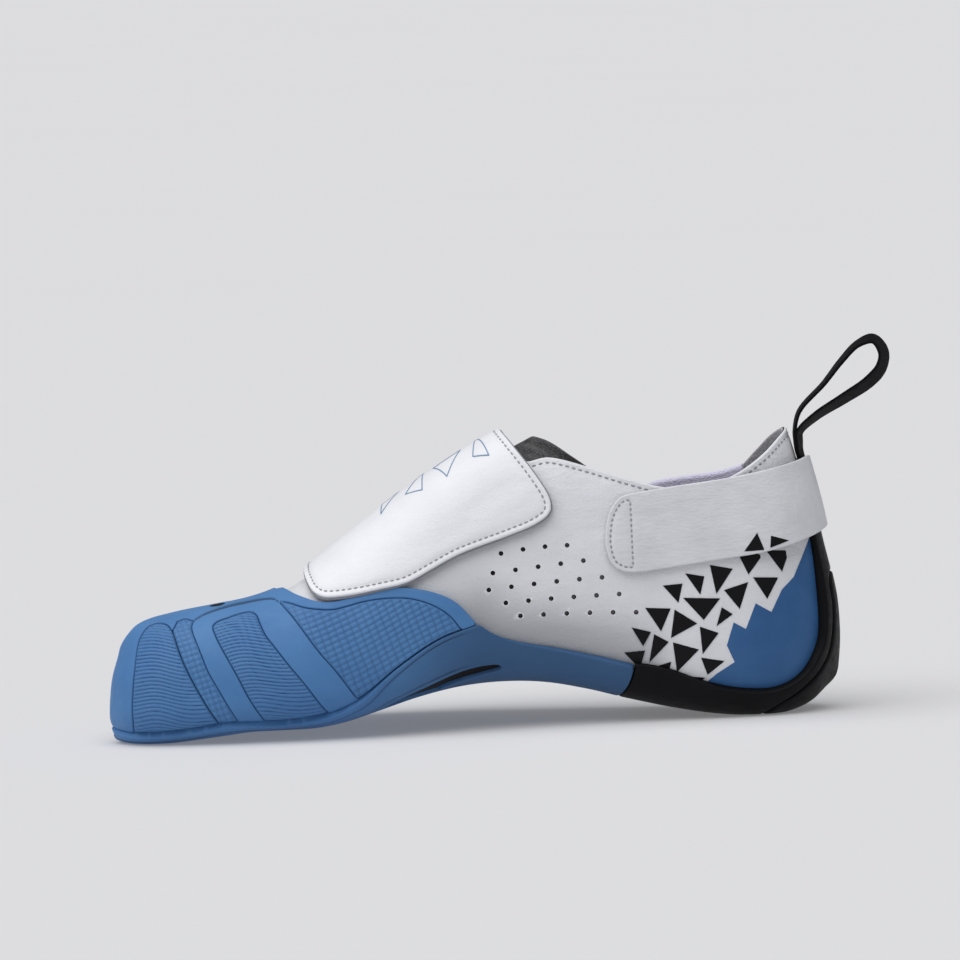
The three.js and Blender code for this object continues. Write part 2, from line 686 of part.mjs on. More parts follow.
// Webbing tape: its two ends run down behind the heel tab, under the heel strap, and the rest makes the loop
function makePullLoop() {
  const half = TAPE_WIDTH / 2;
  const up = sidePrism(ribbon(sideLine("loopUp"), TAPE_WALL), -half, half);
  const down = sidePrism(ribbon(sideLine("loopDown"), TAPE_WALL), -half, half);
  const stemOutline = [
    sidePoint(0.9, 0.74),
    sidePoint(1.05, 0.74),
    sidePoint(1.05, 0.985),
    sidePoint(0.9, 0.985),
  ];
  const stem = layer(CLEARANCE, CLEARANCE + 2 * TAPE_WALL).intersect(sidePrism(stemOutline, -half, half));
  return up.add(down).subtract(formSolid(CLEARANCE)).add(stem);
}

function toMesh(name, solid, colour, roughness) {
  const data = solid.getMesh();
  const geometry = new THREE.BufferGeometry();
  const positions = new Float32Array(data.numVert * 3);
  for (let i = 0; i < data.numVert; i += 1) {
    positions.set(data.vertProperties.subarray(i * data.numProp, i * data.numProp + 3), i * 3);
  }
  geometry.setAttribute("position", new THREE.BufferAttribute(positions, 3));
  geometry.setIndex(new THREE.BufferAttribute(new Uint32Array(data.triVerts), 1));
  geometry.computeVertexNormals();
  const material = new THREE.MeshStandardMaterial({ color: colour, roughness, metalness: 0 });
  const mesh = new THREE.Mesh(geometry, material);
  mesh.name = name;
  return mesh;
}

const shoe = new THREE.Group();
shoe.add(
  toMesh("upper", makeUpper(), COLOURS.white, 0.5),
  toMesh("outsole", makeOutsole(), COLOURS.blue, 0.6),
  toMesh("toe_cap", makeToeCap(), COLOURS.blue, 0.6),
  toMesh("arch_inlay", makeArchInlay(), COLOURS.black, 0.6),
  toMesh("heel_rand", makeHeelRand(), COLOURS.black, 0.5),
  toMesh("heel_bumper", makeHeelBumper(), COLOURS.black, 0.5),
  toMesh("tongue", makeTongue(), COLOURS.knit, 0.9),
  toMesh("insole", makeInsole(), COLOURS.board, 0.9),
  toMesh("collar_pad", makeCollarPad(), COLOURS.foam, 0.8),
  toMesh("instep_strap", makeInstepStrap(), COLOURS.strap, 0.5),
  toMesh("heel_strap", makeHeelStrap(), COLOURS.heel, 0.5),
  toMesh("pull_loop", makePullLoop(), COLOURS.black, 0.9),
);

// The part's origin is under the middle of its box, on the floor
const box = new THREE.Box3().setFromObject(shoe, true);
const middle = box.getCenter(new THREE.Vector3());
shoe.position.set(-middle.x, -middle.y, 0);

export default shoe;
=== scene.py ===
"""Climbing shoe for the right foot: the looks of its rubber, leather, straps, lining and webbing.

Sizes are in millimetres in the shoe's own frame, with x from the toe to the heel, y from the medial side to
the lateral side and z up from the floor. They become metres, in the frame's own place, when a mesh is made.
"""

import logging
import math
from dataclasses import dataclass, field
from enum import Enum
from typing import Callable, Sequence

import bpy
import numpy as np
from mathutils import Matrix, Vector


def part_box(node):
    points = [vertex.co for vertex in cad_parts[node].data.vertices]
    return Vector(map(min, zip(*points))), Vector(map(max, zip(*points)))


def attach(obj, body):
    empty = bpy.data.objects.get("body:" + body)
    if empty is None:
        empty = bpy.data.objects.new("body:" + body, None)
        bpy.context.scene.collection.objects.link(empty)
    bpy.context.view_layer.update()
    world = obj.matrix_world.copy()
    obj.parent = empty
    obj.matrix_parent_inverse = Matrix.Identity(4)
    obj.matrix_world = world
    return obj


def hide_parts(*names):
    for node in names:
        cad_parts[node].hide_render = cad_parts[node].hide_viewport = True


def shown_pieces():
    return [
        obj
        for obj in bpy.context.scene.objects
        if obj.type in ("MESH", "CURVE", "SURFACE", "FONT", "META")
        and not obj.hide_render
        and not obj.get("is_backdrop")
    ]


Array = np.ndarray
Values = dict[str, Array]
Pair = tuple[float, float]
Line = tuple[Pair, ...]
Face = tuple[int, ...]
Tone = tuple[int, int, int]
Piece = bpy.types.Object
Material = bpy.types.Material
Socket = bpy.types.NodeSocket

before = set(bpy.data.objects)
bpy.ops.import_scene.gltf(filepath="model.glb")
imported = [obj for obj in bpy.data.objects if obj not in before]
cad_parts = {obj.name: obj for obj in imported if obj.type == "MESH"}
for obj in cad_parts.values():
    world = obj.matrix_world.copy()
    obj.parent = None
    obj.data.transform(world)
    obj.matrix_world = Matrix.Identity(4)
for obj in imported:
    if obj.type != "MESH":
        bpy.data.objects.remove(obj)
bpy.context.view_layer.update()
log = logging.getLogger("shoe")

# Driving sizes of the whole shoe, as in its solids
SHOE_LENGTH = 247.0
BALL_WIDTH = 88.0
INSTEP_HEIGHT = 100.0
HEEL_HEIGHT = 97.0

# Thicknesses and clearances
CLEARANCE = 0.3
UPPER_WALL = 1.9
CAP_WALL = 2.1
SOLE_SIDE = 2.6
SOLE_BOTTOM = 4.0
RAND_WALL = 1.7
HEEL_BACK = 3.4
INLAY_DEPTH = 1.2
TONGUE_WALL = 1.5
INSOLE_WALL = 2.2
PAD_WALL = 1.8
STRAP_WALL = 1.8
STRAP_SEAT = 0.4
STRAP_LIFT = 3.2
HEEL_STRAP_WALL = 1.5
HEEL_STRAP_LIFT = 2.4
TAPE_WALL = 1.1
TAPE_WIDTH = 9.0
LASTING_MARGIN = 9.0
SLOT_REACH = 14.0
THROAT_FRONT_WIDTH = 5.0
THROAT_BACK_WIDTH = 26.0
THROAT_REACH = (0.35, 0.66)
LASTING_REACH = (0.05, 0.93)
FILM = 0.08
PRINT_LIFT = 0.05
STITCH_LIFT = 0.06

# Places of the form, as in the solids
FORM_FRONT = CLEARANCE + SOLE_SIDE
FORM_LENGTH = SHOE_LENGTH - FORM_FRONT - CLEARANCE - HEEL_BACK
LINING = -UPPER_WALL - CLEARANCE
SOLID_STATIONS = 30
SOLID_STEPS = 24

# Measures of the meshes: the steps round the shoe, how far and how softly a patch keeps off the form's base and
# top, a rounded rim's lines, how near a cut a point counts as on it, and the depth of what is well outside
MM = 0.001
FINE_STEPS = 208
SOFT_STEPS = 176
PATCH_RISE = 1.8
PATCH_FALL = 0.4
PATCH_BEND = 0.5
RIM_LEVELS = (0.12, 0.35, 0.7)
SNAP = 0.03
TINY = 1e-6
OUTSIDE = -9.0
SHARP_ANGLE = 42.0

SECTION_COLUMNS = ("at", "medial", "lateral", "ridge", "base", "top", "waist", "upper", "lower")
SECTION_ROWS = (
    (0.0, -0.182, -0.182, -0.182, 0.05, 0.3, 0.45, 2.2, 2.8),
    (0.01, -0.29, -0.074, -0.185, 0.043, 0.352, 0.42, 2.3, 2.9),
    (0.02, -0.336, 0.0, -0.19, 0.039, 0.373, 0.39, 2.4, 3.0),
    (0.04, -0.385, 0.095, -0.195, 0.036, 0.39, 0.36, 2.4, 3.1),
    (0.08, -0.422, 0.212, -0.195, 0.038, 0.405, 0.34, 2.4, 3.2),
    (0.14, -0.45, 0.318, -0.19, 0.053, 0.425, 0.33, 2.3, 3.5),
    (0.2, -0.466, 0.395, -0.175, 0.066, 0.449, 0.31, 2.2, 3.6),
    (0.24, -0.47, 0.428, -0.16, 0.066, 0.482, 0.3, 2.1, 3.6),
    (0.28, -0.469, 0.455, -0.145, 0.068, 0.536, 0.28, 2.0, 3.6),
    (0.32, -0.461, 0.476, -0.125, 0.084, 0.599, 0.26, 1.95, 3.6),
    (0.36, -0.445, 0.488, -0.108, 0.111, 0.66, 0.24, 1.9, 3.5),
    (0.42, -0.41, 0.49, -0.085, 0.151, 0.754, 0.23, 1.88, 3.4),
    (0.48, -0.376, 0.478, -0.065, 0.178, 0.843, 0.22, 1.86, 3.3),
    (0.54, -0.344, 0.452, -0.045, 0.187, 0.922, 0.21, 1.86, 3.3),
    (0.6, -0.318, 0.424, -0.03, 0.178, 0.998, 0.22, 1.9, 3.3),
    (0.66, -0.302, 0.39, -0.018, 0.149, 1.09, 0.23, 1.98, 3.3),
    (0.72, -0.294, 0.357, -0.01, 0.109, 1.165, 0.24, 2.05, 3.3),
    (0.78, -0.293, 0.33, -0.004, 0.074, 1.215, 0.25, 2.1, 3.4),
    (0.84, -0.292, 0.31, 0.0, 0.048, 1.235, 0.26, 2.15, 3.4),
    (0.9, -0.28, 0.287, 0.0, 0.036, 1.22, 0.27, 2.2, 3.4),
    (0.94, -0.247, 0.249, 0.0, 0.043, 1.195, 0.27, 2.2, 3.2),
    (0.97, -0.192, 0.192, 0.0, 0.07, 1.16, 0.27, 2.2, 2.9),
    (0.99, -0.115, 0.115, 0.0, 0.115, 1.12, 0.26, 2.2, 2.3),
    (1.0, 0.0, 0.0, 0.0, 0.15, 1.08, 0.26, 2.2, 2.2),
)
LEAN_COLUMNS = ("up", "inset")
FRONT_LEAN_ROWS = (
    (0.0, 0.012), (0.045, 0.006), (0.09, 0.0), (0.16, 0.002),
    (0.22, 0.006), (0.3, 0.016), (0.36, 0.019), (1.5, 0.019),
)
BACK_LEAN_ROWS = (
    (0.0, 0.012), (0.17, 0.003), (0.27, 0.0), (0.36, 0.001), (0.5, 0.006),
    (0.61, 0.012), (0.72, 0.02), (0.87, 0.034), (0.98, 0.046), (1.5, 0.11),
)
FRONT_REACH = 0.12
BACK_REACH = 0.25

# Side-view lines, each point as shares of the length and of the height there
LINES: dict[str, Line] = {
    "foxing": (
        (-0.03, 0.076), (0.034, 0.061), (0.095, 0.068), (0.174, 0.093), (0.243, 0.093), (0.295, 0.108),
        (0.34, 0.148), (0.4, 0.244), (0.453, 0.32), (0.507, 0.363),
    ),
    "arch": ((0.507, 0.363), (0.526, 0.33), (0.552, 0.304), (0.617, 0.269), (0.676, 0.233), (0.717, 0.204)),
    "sole_end": ((0.717, 0.204), (0.711, 0.163), (0.7, 0.127), (0.68, 0.081), (0.65, -0.1)),
    "cap_medial": (
        (0.23, 0.505), (0.245, 0.505), (0.267, 0.485), (0.301, 0.463), (0.344, 0.477), (0.396, 0.501),
        (0.447, 0.481), (0.479, 0.442), (0.507, 0.363),
    ),
    "cap_lateral": (
        (0.23, 0.5), (0.238, 0.465), (0.255, 0.435), (0.29, 0.412), (0.344, 0.415), (0.396, 0.432),
        (0.447, 0.425), (0.482, 0.398), (0.507, 0.363),
    ),
    "border": (
        (0.242, 0.468), (0.255, 0.462), (0.272, 0.449), (0.293, 0.441), (0.313, 0.439), (0.332, 0.448),
        (0.351, 0.459), (0.371, 0.466), (0.394, 0.468), (0.415, 0.464), (0.438, 0.448), (0.457, 0.424),
        (0.472, 0.394), (0.481, 0.364), (0.49, 0.33),
    ),
    "panel_front": (
        (0.036, 0.02), (0.035, 0.058), (0.035, 0.14), (0.038, 0.22), (0.041, 0.276), (0.044, 0.326),
        (0.049, 0.363), (0.058, 0.393), (0.068, 0.406), (0.078, 0.409), (0.088, 0.402), (0.094, 0.385),
    ),
    "strip_left": (
        (0.094, 0.385), (0.097, 0.363), (0.101, 0.331), (0.107, 0.289), (0.117, 0.232), (0.131, 0.164),
        (0.147, 0.092), (0.166, 0.02),
    ),
    "strip_right": (
        (0.191, 0.02), (0.174, 0.099), (0.155, 0.188), (0.141, 0.254), (0.134, 0.301), (0.127, 0.347),
        (0.122, 0.379), (0.121, 0.397), (0.124, 0.414),
    ),
    "arch_top": (
        (0.124, 0.414), (0.128, 0.42), (0.14, 0.433), (0.169, 0.451), (0.198, 0.463), (0.218, 0.471),
        (0.233, 0.472), (0.242, 0.459),
    ),
    "panel_middle": (
        (0.226, 0.02), (0.207, 0.101), (0.193, 0.164), (0.181, 0.227), (0.168, 0.289), (0.159, 0.331),
        (0.152, 0.368), (0.149, 0.395), (0.155, 0.41), (0.169, 0.421), (0.19, 0.435), (0.202, 0.437),
        (0.209, 0.427), (0.214, 0.399), (0.221, 0.363), (0.234, 0.32), (0.251, 0.263), (0.271, 0.199),
        (0.294, 0.116), (0.32, 0.02),
    ),
    "panel_side": (
        (0.242, 0.459), (0.256, 0.422), (0.273, 0.366), (0.291, 0.303), (0.315, 0.23), (0.337, 0.149),
        (0.365, 0.05),
    ),
    "collar_medial": (
        (0.545, 1.0), (0.56, 0.918), (0.58, 0.893), (0.611, 0.908), (0.668, 0.876), (0.713, 0.842),
        (0.769, 0.808), (0.822, 0.81), (0.864, 0.845), (0.903, 0.905), (0.933, 0.969), (0.972, 1.041),
    ),
    "collar_lateral": (
        (0.545, 1.0), (0.56, 0.9), (0.58, 0.86), (0.611, 0.856), (0.668, 0.805), (0.713, 0.763),
        (0.762, 0.744), (0.81, 0.766), (0.864, 0.812), (0.9, 0.9), (0.925, 0.965), (0.972, 1.041),
    ),
    "tongue_medial": (
        (0.566, 1.04), (0.575, 0.963), (0.587, 0.972), (0.602, 0.968), (0.617, 0.952), (0.637, 0.922),
        (0.668, 0.869), (0.69, 0.82),
    ),
    "tongue_lateral": (
        (0.566, 1.04), (0.575, 0.957), (0.587, 0.966), (0.602, 0.958), (0.617, 0.938), (0.637, 0.901),
        (0.668, 0.838), (0.69, 0.79),
    ),
    "tongue_low": ((0.69, 0.79), (0.62, 0.76), (0.54, 0.72), (0.44, 0.6), (0.33, 0.47), (0.32, 0.52)),
    "rand": (
        (0.967, 0.655), (0.969, 0.614), (0.979, 0.452), (0.982, 0.339), (0.977, 0.237), (0.951, 0.137),
        (0.911, 0.086), (0.858, 0.09), (0.806, 0.13), (0.761, 0.181), (0.717, 0.204),
    ),
    "bumper": (
        (1.03, 0.5), (0.992, 0.479), (0.993, 0.364), (0.99, 0.26), (0.982, 0.189), (0.966, 0.13),
        (0.941, 0.075), (0.907, 0.025), (0.879, -0.021),
    ),
    "slot": (
        (0.35, 0.03), (0.37, 0.08), (0.381, 0.099), (0.433, 0.157), (0.481, 0.204), (0.514, 0.22),
        (0.534, 0.219), (0.537, 0.208), (0.509, 0.187), (0.473, 0.162), (0.452, 0.14), (0.44, 0.09),
        (0.432, 0.03),
    ),
    "strap_medial": (
        (0.271, 0.585), (0.274, 0.55), (0.285, 0.502), (0.298, 0.483), (0.324, 0.482), (0.38, 0.501),
        (0.415, 0.518), (0.45, 0.559), (0.485, 0.6), (0.555, 0.656), (0.593, 0.693), (0.611, 0.729),
        (0.612, 0.768), (0.593, 0.854), (0.544, 1.011),
    ),
    "strap_lateral": (
        (0.271, 0.585), (0.281, 0.545), (0.304, 0.524), (0.421, 0.524), (0.526, 0.536), (0.555, 0.561),
        (0.569, 0.612), (0.575, 0.723), (0.569, 0.843), (0.544, 1.011),
    ),
    "heel_strap_top": ((0.72, 0.789), (0.776, 0.812), (0.858, 0.838), (0.947, 0.876), (0.996, 0.903)),
    "heel_strap_far": ((0.72, 0.75), (0.776, 0.776), (0.858, 0.804), (0.947, 0.862), (0.996, 0.903)),
    "heel_tab_far": (
        (0.708, 0.524), (0.692, 0.548), (0.685, 0.6), (0.685, 0.65), (0.692, 0.7), (0.706, 0.738),
    ),
    "heel_strap_low": ((0.996, 0.645), (0.972, 0.621), (0.906, 0.579), (0.829, 0.554), (0.73, 0.521)),
    "heel_tab": (
        (0.73, 0.521), (0.708, 0.524), (0.692, 0.548), (0.685, 0.6), (0.685, 0.66), (0.692, 0.73),
        (0.706, 0.775), (0.72, 0.789),
    ),
    "pad": (
        (0.742, 0.62), (0.738, 0.75), (0.748, 0.783), (0.776, 0.803), (0.81, 0.815), (0.845, 0.826),
        (0.875, 0.846), (0.892, 0.86), (0.9, 0.7),
    ),
    "loop_up": (
        (0.951, 0.93), (0.948, 0.968), (0.957, 1.037), (0.992, 1.13), (1.017, 1.206), (1.04, 1.262),
        (1.062, 1.278), (1.075, 1.231),
    ),
    "loop_down": (
        (1.062, 1.278), (1.075, 1.231), (1.071, 1.177), (1.054, 1.13), (1.018, 1.074), (0.98, 1.018),
        (0.95, 0.965), (0.953, 0.93),
    ),
}

class Side(Enum):
    """The two sides of the shoe."""

    MEDIAL = "medial"
    LATERAL = "lateral"


class Relief(Enum):
    """Patterns that are moulded into the cap's panels."""

    RIBS = "ribs"
    PADS = "pads"


# Small functions of numbers and outlines


def smoothstep(value: Array | float, low: float, high: float) -> Array:
    """Smooth rise from 0 at low to 1 at high."""
    t = np.clip((np.asarray(value, float) - low) / (high - low), 0.0, 1.0)
    return t * t * (3.0 - 2.0 * t)


def height_at(along: Array | float) -> Array:
    """Height that a share is taken of: the instep's in front, the heel's behind."""
    return INSTEP_HEIGHT + (HEEL_HEIGHT - INSTEP_HEIGHT) * smoothstep(along, 0.5, 0.85)


def to_angle(at: Array | float) -> Array:
    """Station's angle, which spaces the stations closer at both round ends."""
    return np.arccos(1.0 - 2.0 * np.clip(at, 0.0, 1.0))


def same(value: Array) -> Array:
    """The value as it is."""
    return value


def side_point(along: float, up: float) -> Pair:
    """Side-view point in millimetres of two shares."""
    return along * SHOE_LENGTH, up * float(height_at(along))


def smooth_line(points: Array, per_span: int = 8) -> Array:
    """Centripetal curve through points.

    Args:
        points: the points, one row each.
        per_span: how many steps the curve takes between two of them.

    Returns:
        The curve's points, one row each.
    """
    rows = [2 * points[0] - points[1], *points, 2 * points[-1] - points[-2]]
    made = []
    for k in range(len(points) - 1):
        p0, p1, p2, p3 = rows[k : k + 4]
        d0, d1, d2 = (max(np.linalg.norm(b - a) ** 0.5, 1e-4) for a, b in ((p0, p1), (p1, p2), (p2, p3)))
        t1 = ((p1 - p0) / d0 - (p2 - p0) / (d0 + d1) + (p2 - p1) / d1) * d1
        t2 = ((p2 - p1) / d1 - (p3 - p1) / (d1 + d2) + (p3 - p2) / d2) * d1
        for step in range(per_span):
            t = step / per_span
            made.append(
                p1 + t1 * t + (-3 * p1 + 3 * p2 - 2 * t1 - t2) * t**2 + (2 * p1 - 2 * p2 + t1 + t2) * t**3
            )
    made.append(points[-1])
    return np.array(made)


def way_along(line: Array) -> Array:
    """Length of a line from its start to each of its points."""
    return np.concatenate([[0.0], np.cumsum(np.linalg.norm(np.diff(line, axis=0), axis=1))])


def rows_at(marks: Array, run: Array, rows: Array) -> Array:
    """Rows of three numbers read at marks between the places that they are known at."""
    return np.stack([np.interp(marks, run, rows[:, k]) for k in range(3)], axis=1)


def side_line(name: str, per_span: int = 6) -> Array:
    """Smooth side-view line in millimetres."""
    return smooth_line(np.array([side_point(*p) for p in LINES[name]]), per_span)


def outline(*parts: Array | Pair) -> Array:
    """Closed side-view outline of lines and single shares' points, in order."""
    rows = [np.array([side_point(*p)]) if isinstance(p, tuple) else p for p in parts]
    return np.concatenate(rows)


def squared_distance(reach: Array, edge: Array) -> Array:
    """Squared distance to an edge of points that are given from its start."""
    share = np.clip(reach @ edge / max(float(edge @ edge), 1e-12), 0.0, 1.0)
    return ((reach - share[:, None] * edge) ** 2).sum(axis=1)


def depth_in(points: Array, polygon: Array) -> Array:
    """Distance of side-view points to an outline, positive inside it."""
    best = np.full(len(points), np.inf)
    inside = np.zeros(len(points), bool)
    for start, end in zip(polygon, np.roll(polygon, -1, axis=0)):
        edge = end - start
        reach = points - start
        best = np.minimum(best, squared_distance(reach, edge))
        if edge[1] != 0.0:
            crosses = (start[1] > points[:, 1]) != (end[1] > points[:, 1])
            inside ^= crosses & (reach[:, 0] < reach[:, 1] * edge[0] / edge[1])
    return np.where(inside, 1.0, -1.0) * np.sqrt(best)


def line_distance(points: Array, line: Array) -> Array:
    """Distance of side-view points to an open line."""
    edges = zip(line[:-1], line[1:])
    return np.sqrt(np.min([squared_distance(points - start, end - start) for start, end in edges], axis=0))


def rounded(depth: Array, radius: float) -> Array:
    """How far a rounded rim drops at each depth from its edge."""
    short = np.clip(radius - depth, 0.0, radius)
    return radius - np.sqrt(np.maximum(radius**2 - short**2, 0.0))


def groove(distance: Array, width: float, depth: float) -> Array:
    """Depth of a soft groove at each distance from its line."""
    return depth * np.exp(-((distance / width) ** 2))


def quads(ids: Array, closed: bool = False) -> list[Face]:
    """Faces between neighbours in a grid of point numbers, whose last column may be joined to its first."""
    grid = np.concatenate([ids, ids[:, :1]], axis=1) if closed else ids
    corners = np.stack([grid[:-1, :-1], grid[:-1, 1:], grid[1:, 1:], grid[1:, :-1]], axis=-1)
    return [tuple(face) for face in corners.reshape(-1, 4).tolist()]


def underneath(normal: Array) -> Array:
    """How much a surface faces down, from 0 on the side to 1 underneath."""
    return smoothstep(-normal[:, 2], 0.3, 0.9)


@dataclass(frozen=True)
class Trough:
    """Soft straight trough in side view: a place on its line, its slope there, its width and depth, and its ends."""

    x: float
    z: float
    slope: float
    width: float
    depth: float
    start: Pair = (-2.0, -1.0)
    end: Pair = (SHOE_LENGTH + 1.0, SHOE_LENGTH + 2.0)

    def at(self, x: Array, z: Array) -> Array:
        """Its depth at side-view places in millimetres."""
        whole = groove(z - self.z - self.slope * (x - self.x), self.width, self.depth)
        return whole * smoothstep(x, *self.start) * (1 - smoothstep(x, *self.end))


class Table:
    """Listed values in named columns, read between their rows on smooth curves."""

    def __init__(
        self,
        columns: Sequence[str],
        rows: Sequence[Sequence[float]],
        spread: Callable[[Array], Array] = same,
    ) -> None:
        """Keeps the columns; spread turns the first column into the curve's own measure."""
        self.columns = {name: np.array([row[i] for row in rows]) for i, name in enumerate(columns)}
        self.keys = self.columns[columns[0]]
        self.spread = spread

    def read(self, column: str, key: Array | float) -> Array:
        """Value of a column at each key."""
        key = np.asarray(key, float)
        marks = self.spread(self.keys)
        column_values = self.columns[column]
        step = np.diff(column_values) / np.maximum(np.diff(marks), 1e-9)
        wide = (column_values[2:] - column_values[:-2]) / np.maximum(marks[2:] - marks[:-2], 1e-9)
        slope = np.concatenate([step[:1], np.where(step[:-1] * step[1:] > 0, wide, 0.0), step[-1:]])
        row = np.searchsorted(self.keys[1:-1], key, side="left")
        gap = marks[row + 1] - marks[row]
        t = np.clip((self.spread(key) - marks[row]) / gap, 0.0, 1.0)
        return (
            column_values[row] * (2 * t**3 - 3 * t**2 + 1)
            + slope[row] * gap * (t**3 - 2 * t**2 + t)
            + column_values[row + 1] * (3 * t**2 - 2 * t**3)
            + slope[row + 1] * gap * (t**3 - t**2)
        )


class Form:
    """Outer surface of the upper, which every other piece lies over or under."""

    def __init__(self) -> None:
        """Reads the tables."""
        self.table = Table(SECTION_COLUMNS, SECTION_ROWS, to_angle)
        self.front = Table(LEAN_COLUMNS, FRONT_LEAN_ROWS)
        self.back = Table(LEAN_COLUMNS, BACK_LEAN_ROWS)

    def section(self, at: Array | float) -> Values:
        """Sizes in millimetres of the sections at the given shares of the form's length."""
        at = np.asarray(at, float)
        height = height_at((FORM_FRONT + at * FORM_LENGTH) / SHOE_LENGTH)
        read = {name: self.table.read(name, at) for name in SECTION_COLUMNS[1:]}
        made = {name: read[name] * BALL_WIDTH for name in ("medial", "lateral", "ridge")}
        made |= {name: read[name] * height for name in ("base", "top")}
        made["keel"] = (made["medial"] + made["lateral"]) / 2
        made["waist"] = made["base"] + (made["top"] - made["base"]) * read["waist"]
        made |= {name: read[name] for name in ("upper", "lower")}
        return made

    def lean(self, at: Array, z: Array) -> Array:
        """How far the front and the back lean in at a height."""
        up = z / height_at((FORM_FRONT + at * FORM_LENGTH) / SHOE_LENGTH)
        front = self.front.read("inset", up) * (1 - smoothstep(at, 0.0, FRONT_REACH))
        back = self.back.read("inset", up) * (1 - smoothstep(1 - at, 0.0, BACK_REACH))
        return (front - back) * SHOE_LENGTH

    def point(self, angle: Array, turn: Array) -> Array:
        """Points of the form: turn runs from 0 at the keel up the lateral side, over the top at 0.5 and down."""
        at = (1 - np.cos(np.clip(angle, 0.0, math.pi))) / 2
        s = self.section(at)
        whole = np.mod(turn, 1.0)
        lateral = whole <= 0.5
        side = np.where(lateral, s["lateral"], s["medial"])
        rise = np.where(lateral, whole * 2, 2 - whole * 2)
        low = np.clip(rise, 0.0, 0.5) * math.pi
        high = np.clip(rise - 0.5, 0.0, 0.5) * math.pi
        y_low = s["keel"] + (side - s["keel"]) * np.sin(low) ** (2 / s["lower"])
        z_low = s["waist"] - (s["waist"] - s["base"]) * np.maximum(np.cos(low), 0.0) ** (2 / s["lower"])
        y_high = s["ridge"] + (side - s["ridge"]) * np.maximum(np.cos(high), 0.0) ** (2 / s["upper"])
        z_high = s["waist"] + (s["top"] - s["waist"]) * np.sin(high) ** (2 / s["upper"])
        y = np.where(rise <= 0.5, y_low, y_high)
        z = np.where(rise <= 0.5, z_low, z_high)
        x = FORM_FRONT + at * FORM_LENGTH + self.lean(at, z)
        return np.stack([x, y, z], axis=-1)

    def normal(self, angle: Array, turn: Array) -> Array:
        """Outward normals, over the same small stretch as in the solids."""
        nudge = 0.3
        da = nudge * math.pi / SOLID_STATIONS
        dt = nudge / SOLID_STEPS
        along = self.point(np.minimum(angle + da, math.pi), turn) - self.point(np.maximum(angle - da, 0.0), turn)
        around = self.point(angle, turn + dt) - self.point(angle, turn - dt)
        out = -np.cross(along, around)
        return out / np.maximum(np.linalg.norm(out, axis=-1, keepdims=True), 1e-12)

    def on_side(self, x: Array, z: Array, side: Side, away: float) -> tuple[Array, Array]:
        """Points of a surface away from the form that show at side-view places.

        Args:
            x: places along the shoe, in millimetres.
            z: heights, in millimetres.
            side: the side of the shoe.
            away: the surface's distance from the form.

        Returns:
            The points and the normals there, one row each.
        """
        aim_x, aim_z = np.array(x, float), np.array(z, float)
        for _ in range(6):
            at = np.clip((aim_x - FORM_FRONT) / FORM_LENGTH, 0.0, 1.0)
            for _ in range(4):
                at = np.clip((aim_x - FORM_FRONT - self.lean(at, aim_z)) / FORM_LENGTH, 0.0, 1.0)
            s = self.section(at)
            low = np.clip((s["waist"] - aim_z) / (s["waist"] - s["base"]), 0.0, 1.0)
            high = np.clip((aim_z - s["waist"]) / (s["top"] - s["waist"]), 0.0, 1.0)
            rise_low = np.arccos(low ** (s["lower"] / 2)) / math.pi
            rise_high = 0.5 + np.arcsin(high ** (s["upper"] / 2)) / math.pi
            rise = np.where(aim_z < s["waist"], rise_low, rise_high)
            turn = rise / 2 if side is Side.LATERAL else 1 - rise / 2
            angle = to_angle(at)
            normal = self.normal(angle, turn)
            point = self.point(angle, turn) + normal * away
            aim_x += x - point[:, 0]
            aim_z += z - point[:, 2]
        return point, normal


FORM = Form()


def frame_shift() -> Vector:
    """Place of the shoe's own origin in the frame, from the upper's box there and in the shoe's own sizes."""
    angle, turn = np.meshgrid(
        np.arange(SOLID_STATIONS + 1) * math.pi / SOLID_STATIONS,
        np.arange(SOLID_STEPS) / SOLID_STEPS,
        indexing="ij",
    )
    corner = FORM.point(angle, turn).reshape(-1, 3).min(axis=0) * MM
    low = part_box("upper")[0]
    return Vector((low.x - corner[0], low.y - corner[1], 0.0))


SHIFT = frame_shift()


def to_frame(points: Array) -> Array:
    """Points in millimetres of the shoe as metres in the frame."""
    return points * MM + np.array(SHIFT)


@dataclass
class Region:
    """Side-view outline of a piece, with another one on the lateral side where it differs."""

    medial: Array
    lateral: Array | None = None
    split: float = 0.0
    blend: float = 7.0

    def depth(self, point: Array) -> Array:
        """Distance inside the outline at each point, in side view."""
        flat = point[:, [0, 2]]
        near = depth_in(flat, self.medial)
        if self.lateral is None:
            return near
        share = smoothstep(point[:, 1], self.split - self.blend, self.split + self.blend)
        return near * (1 - share) + depth_in(flat, self.lateral) * share


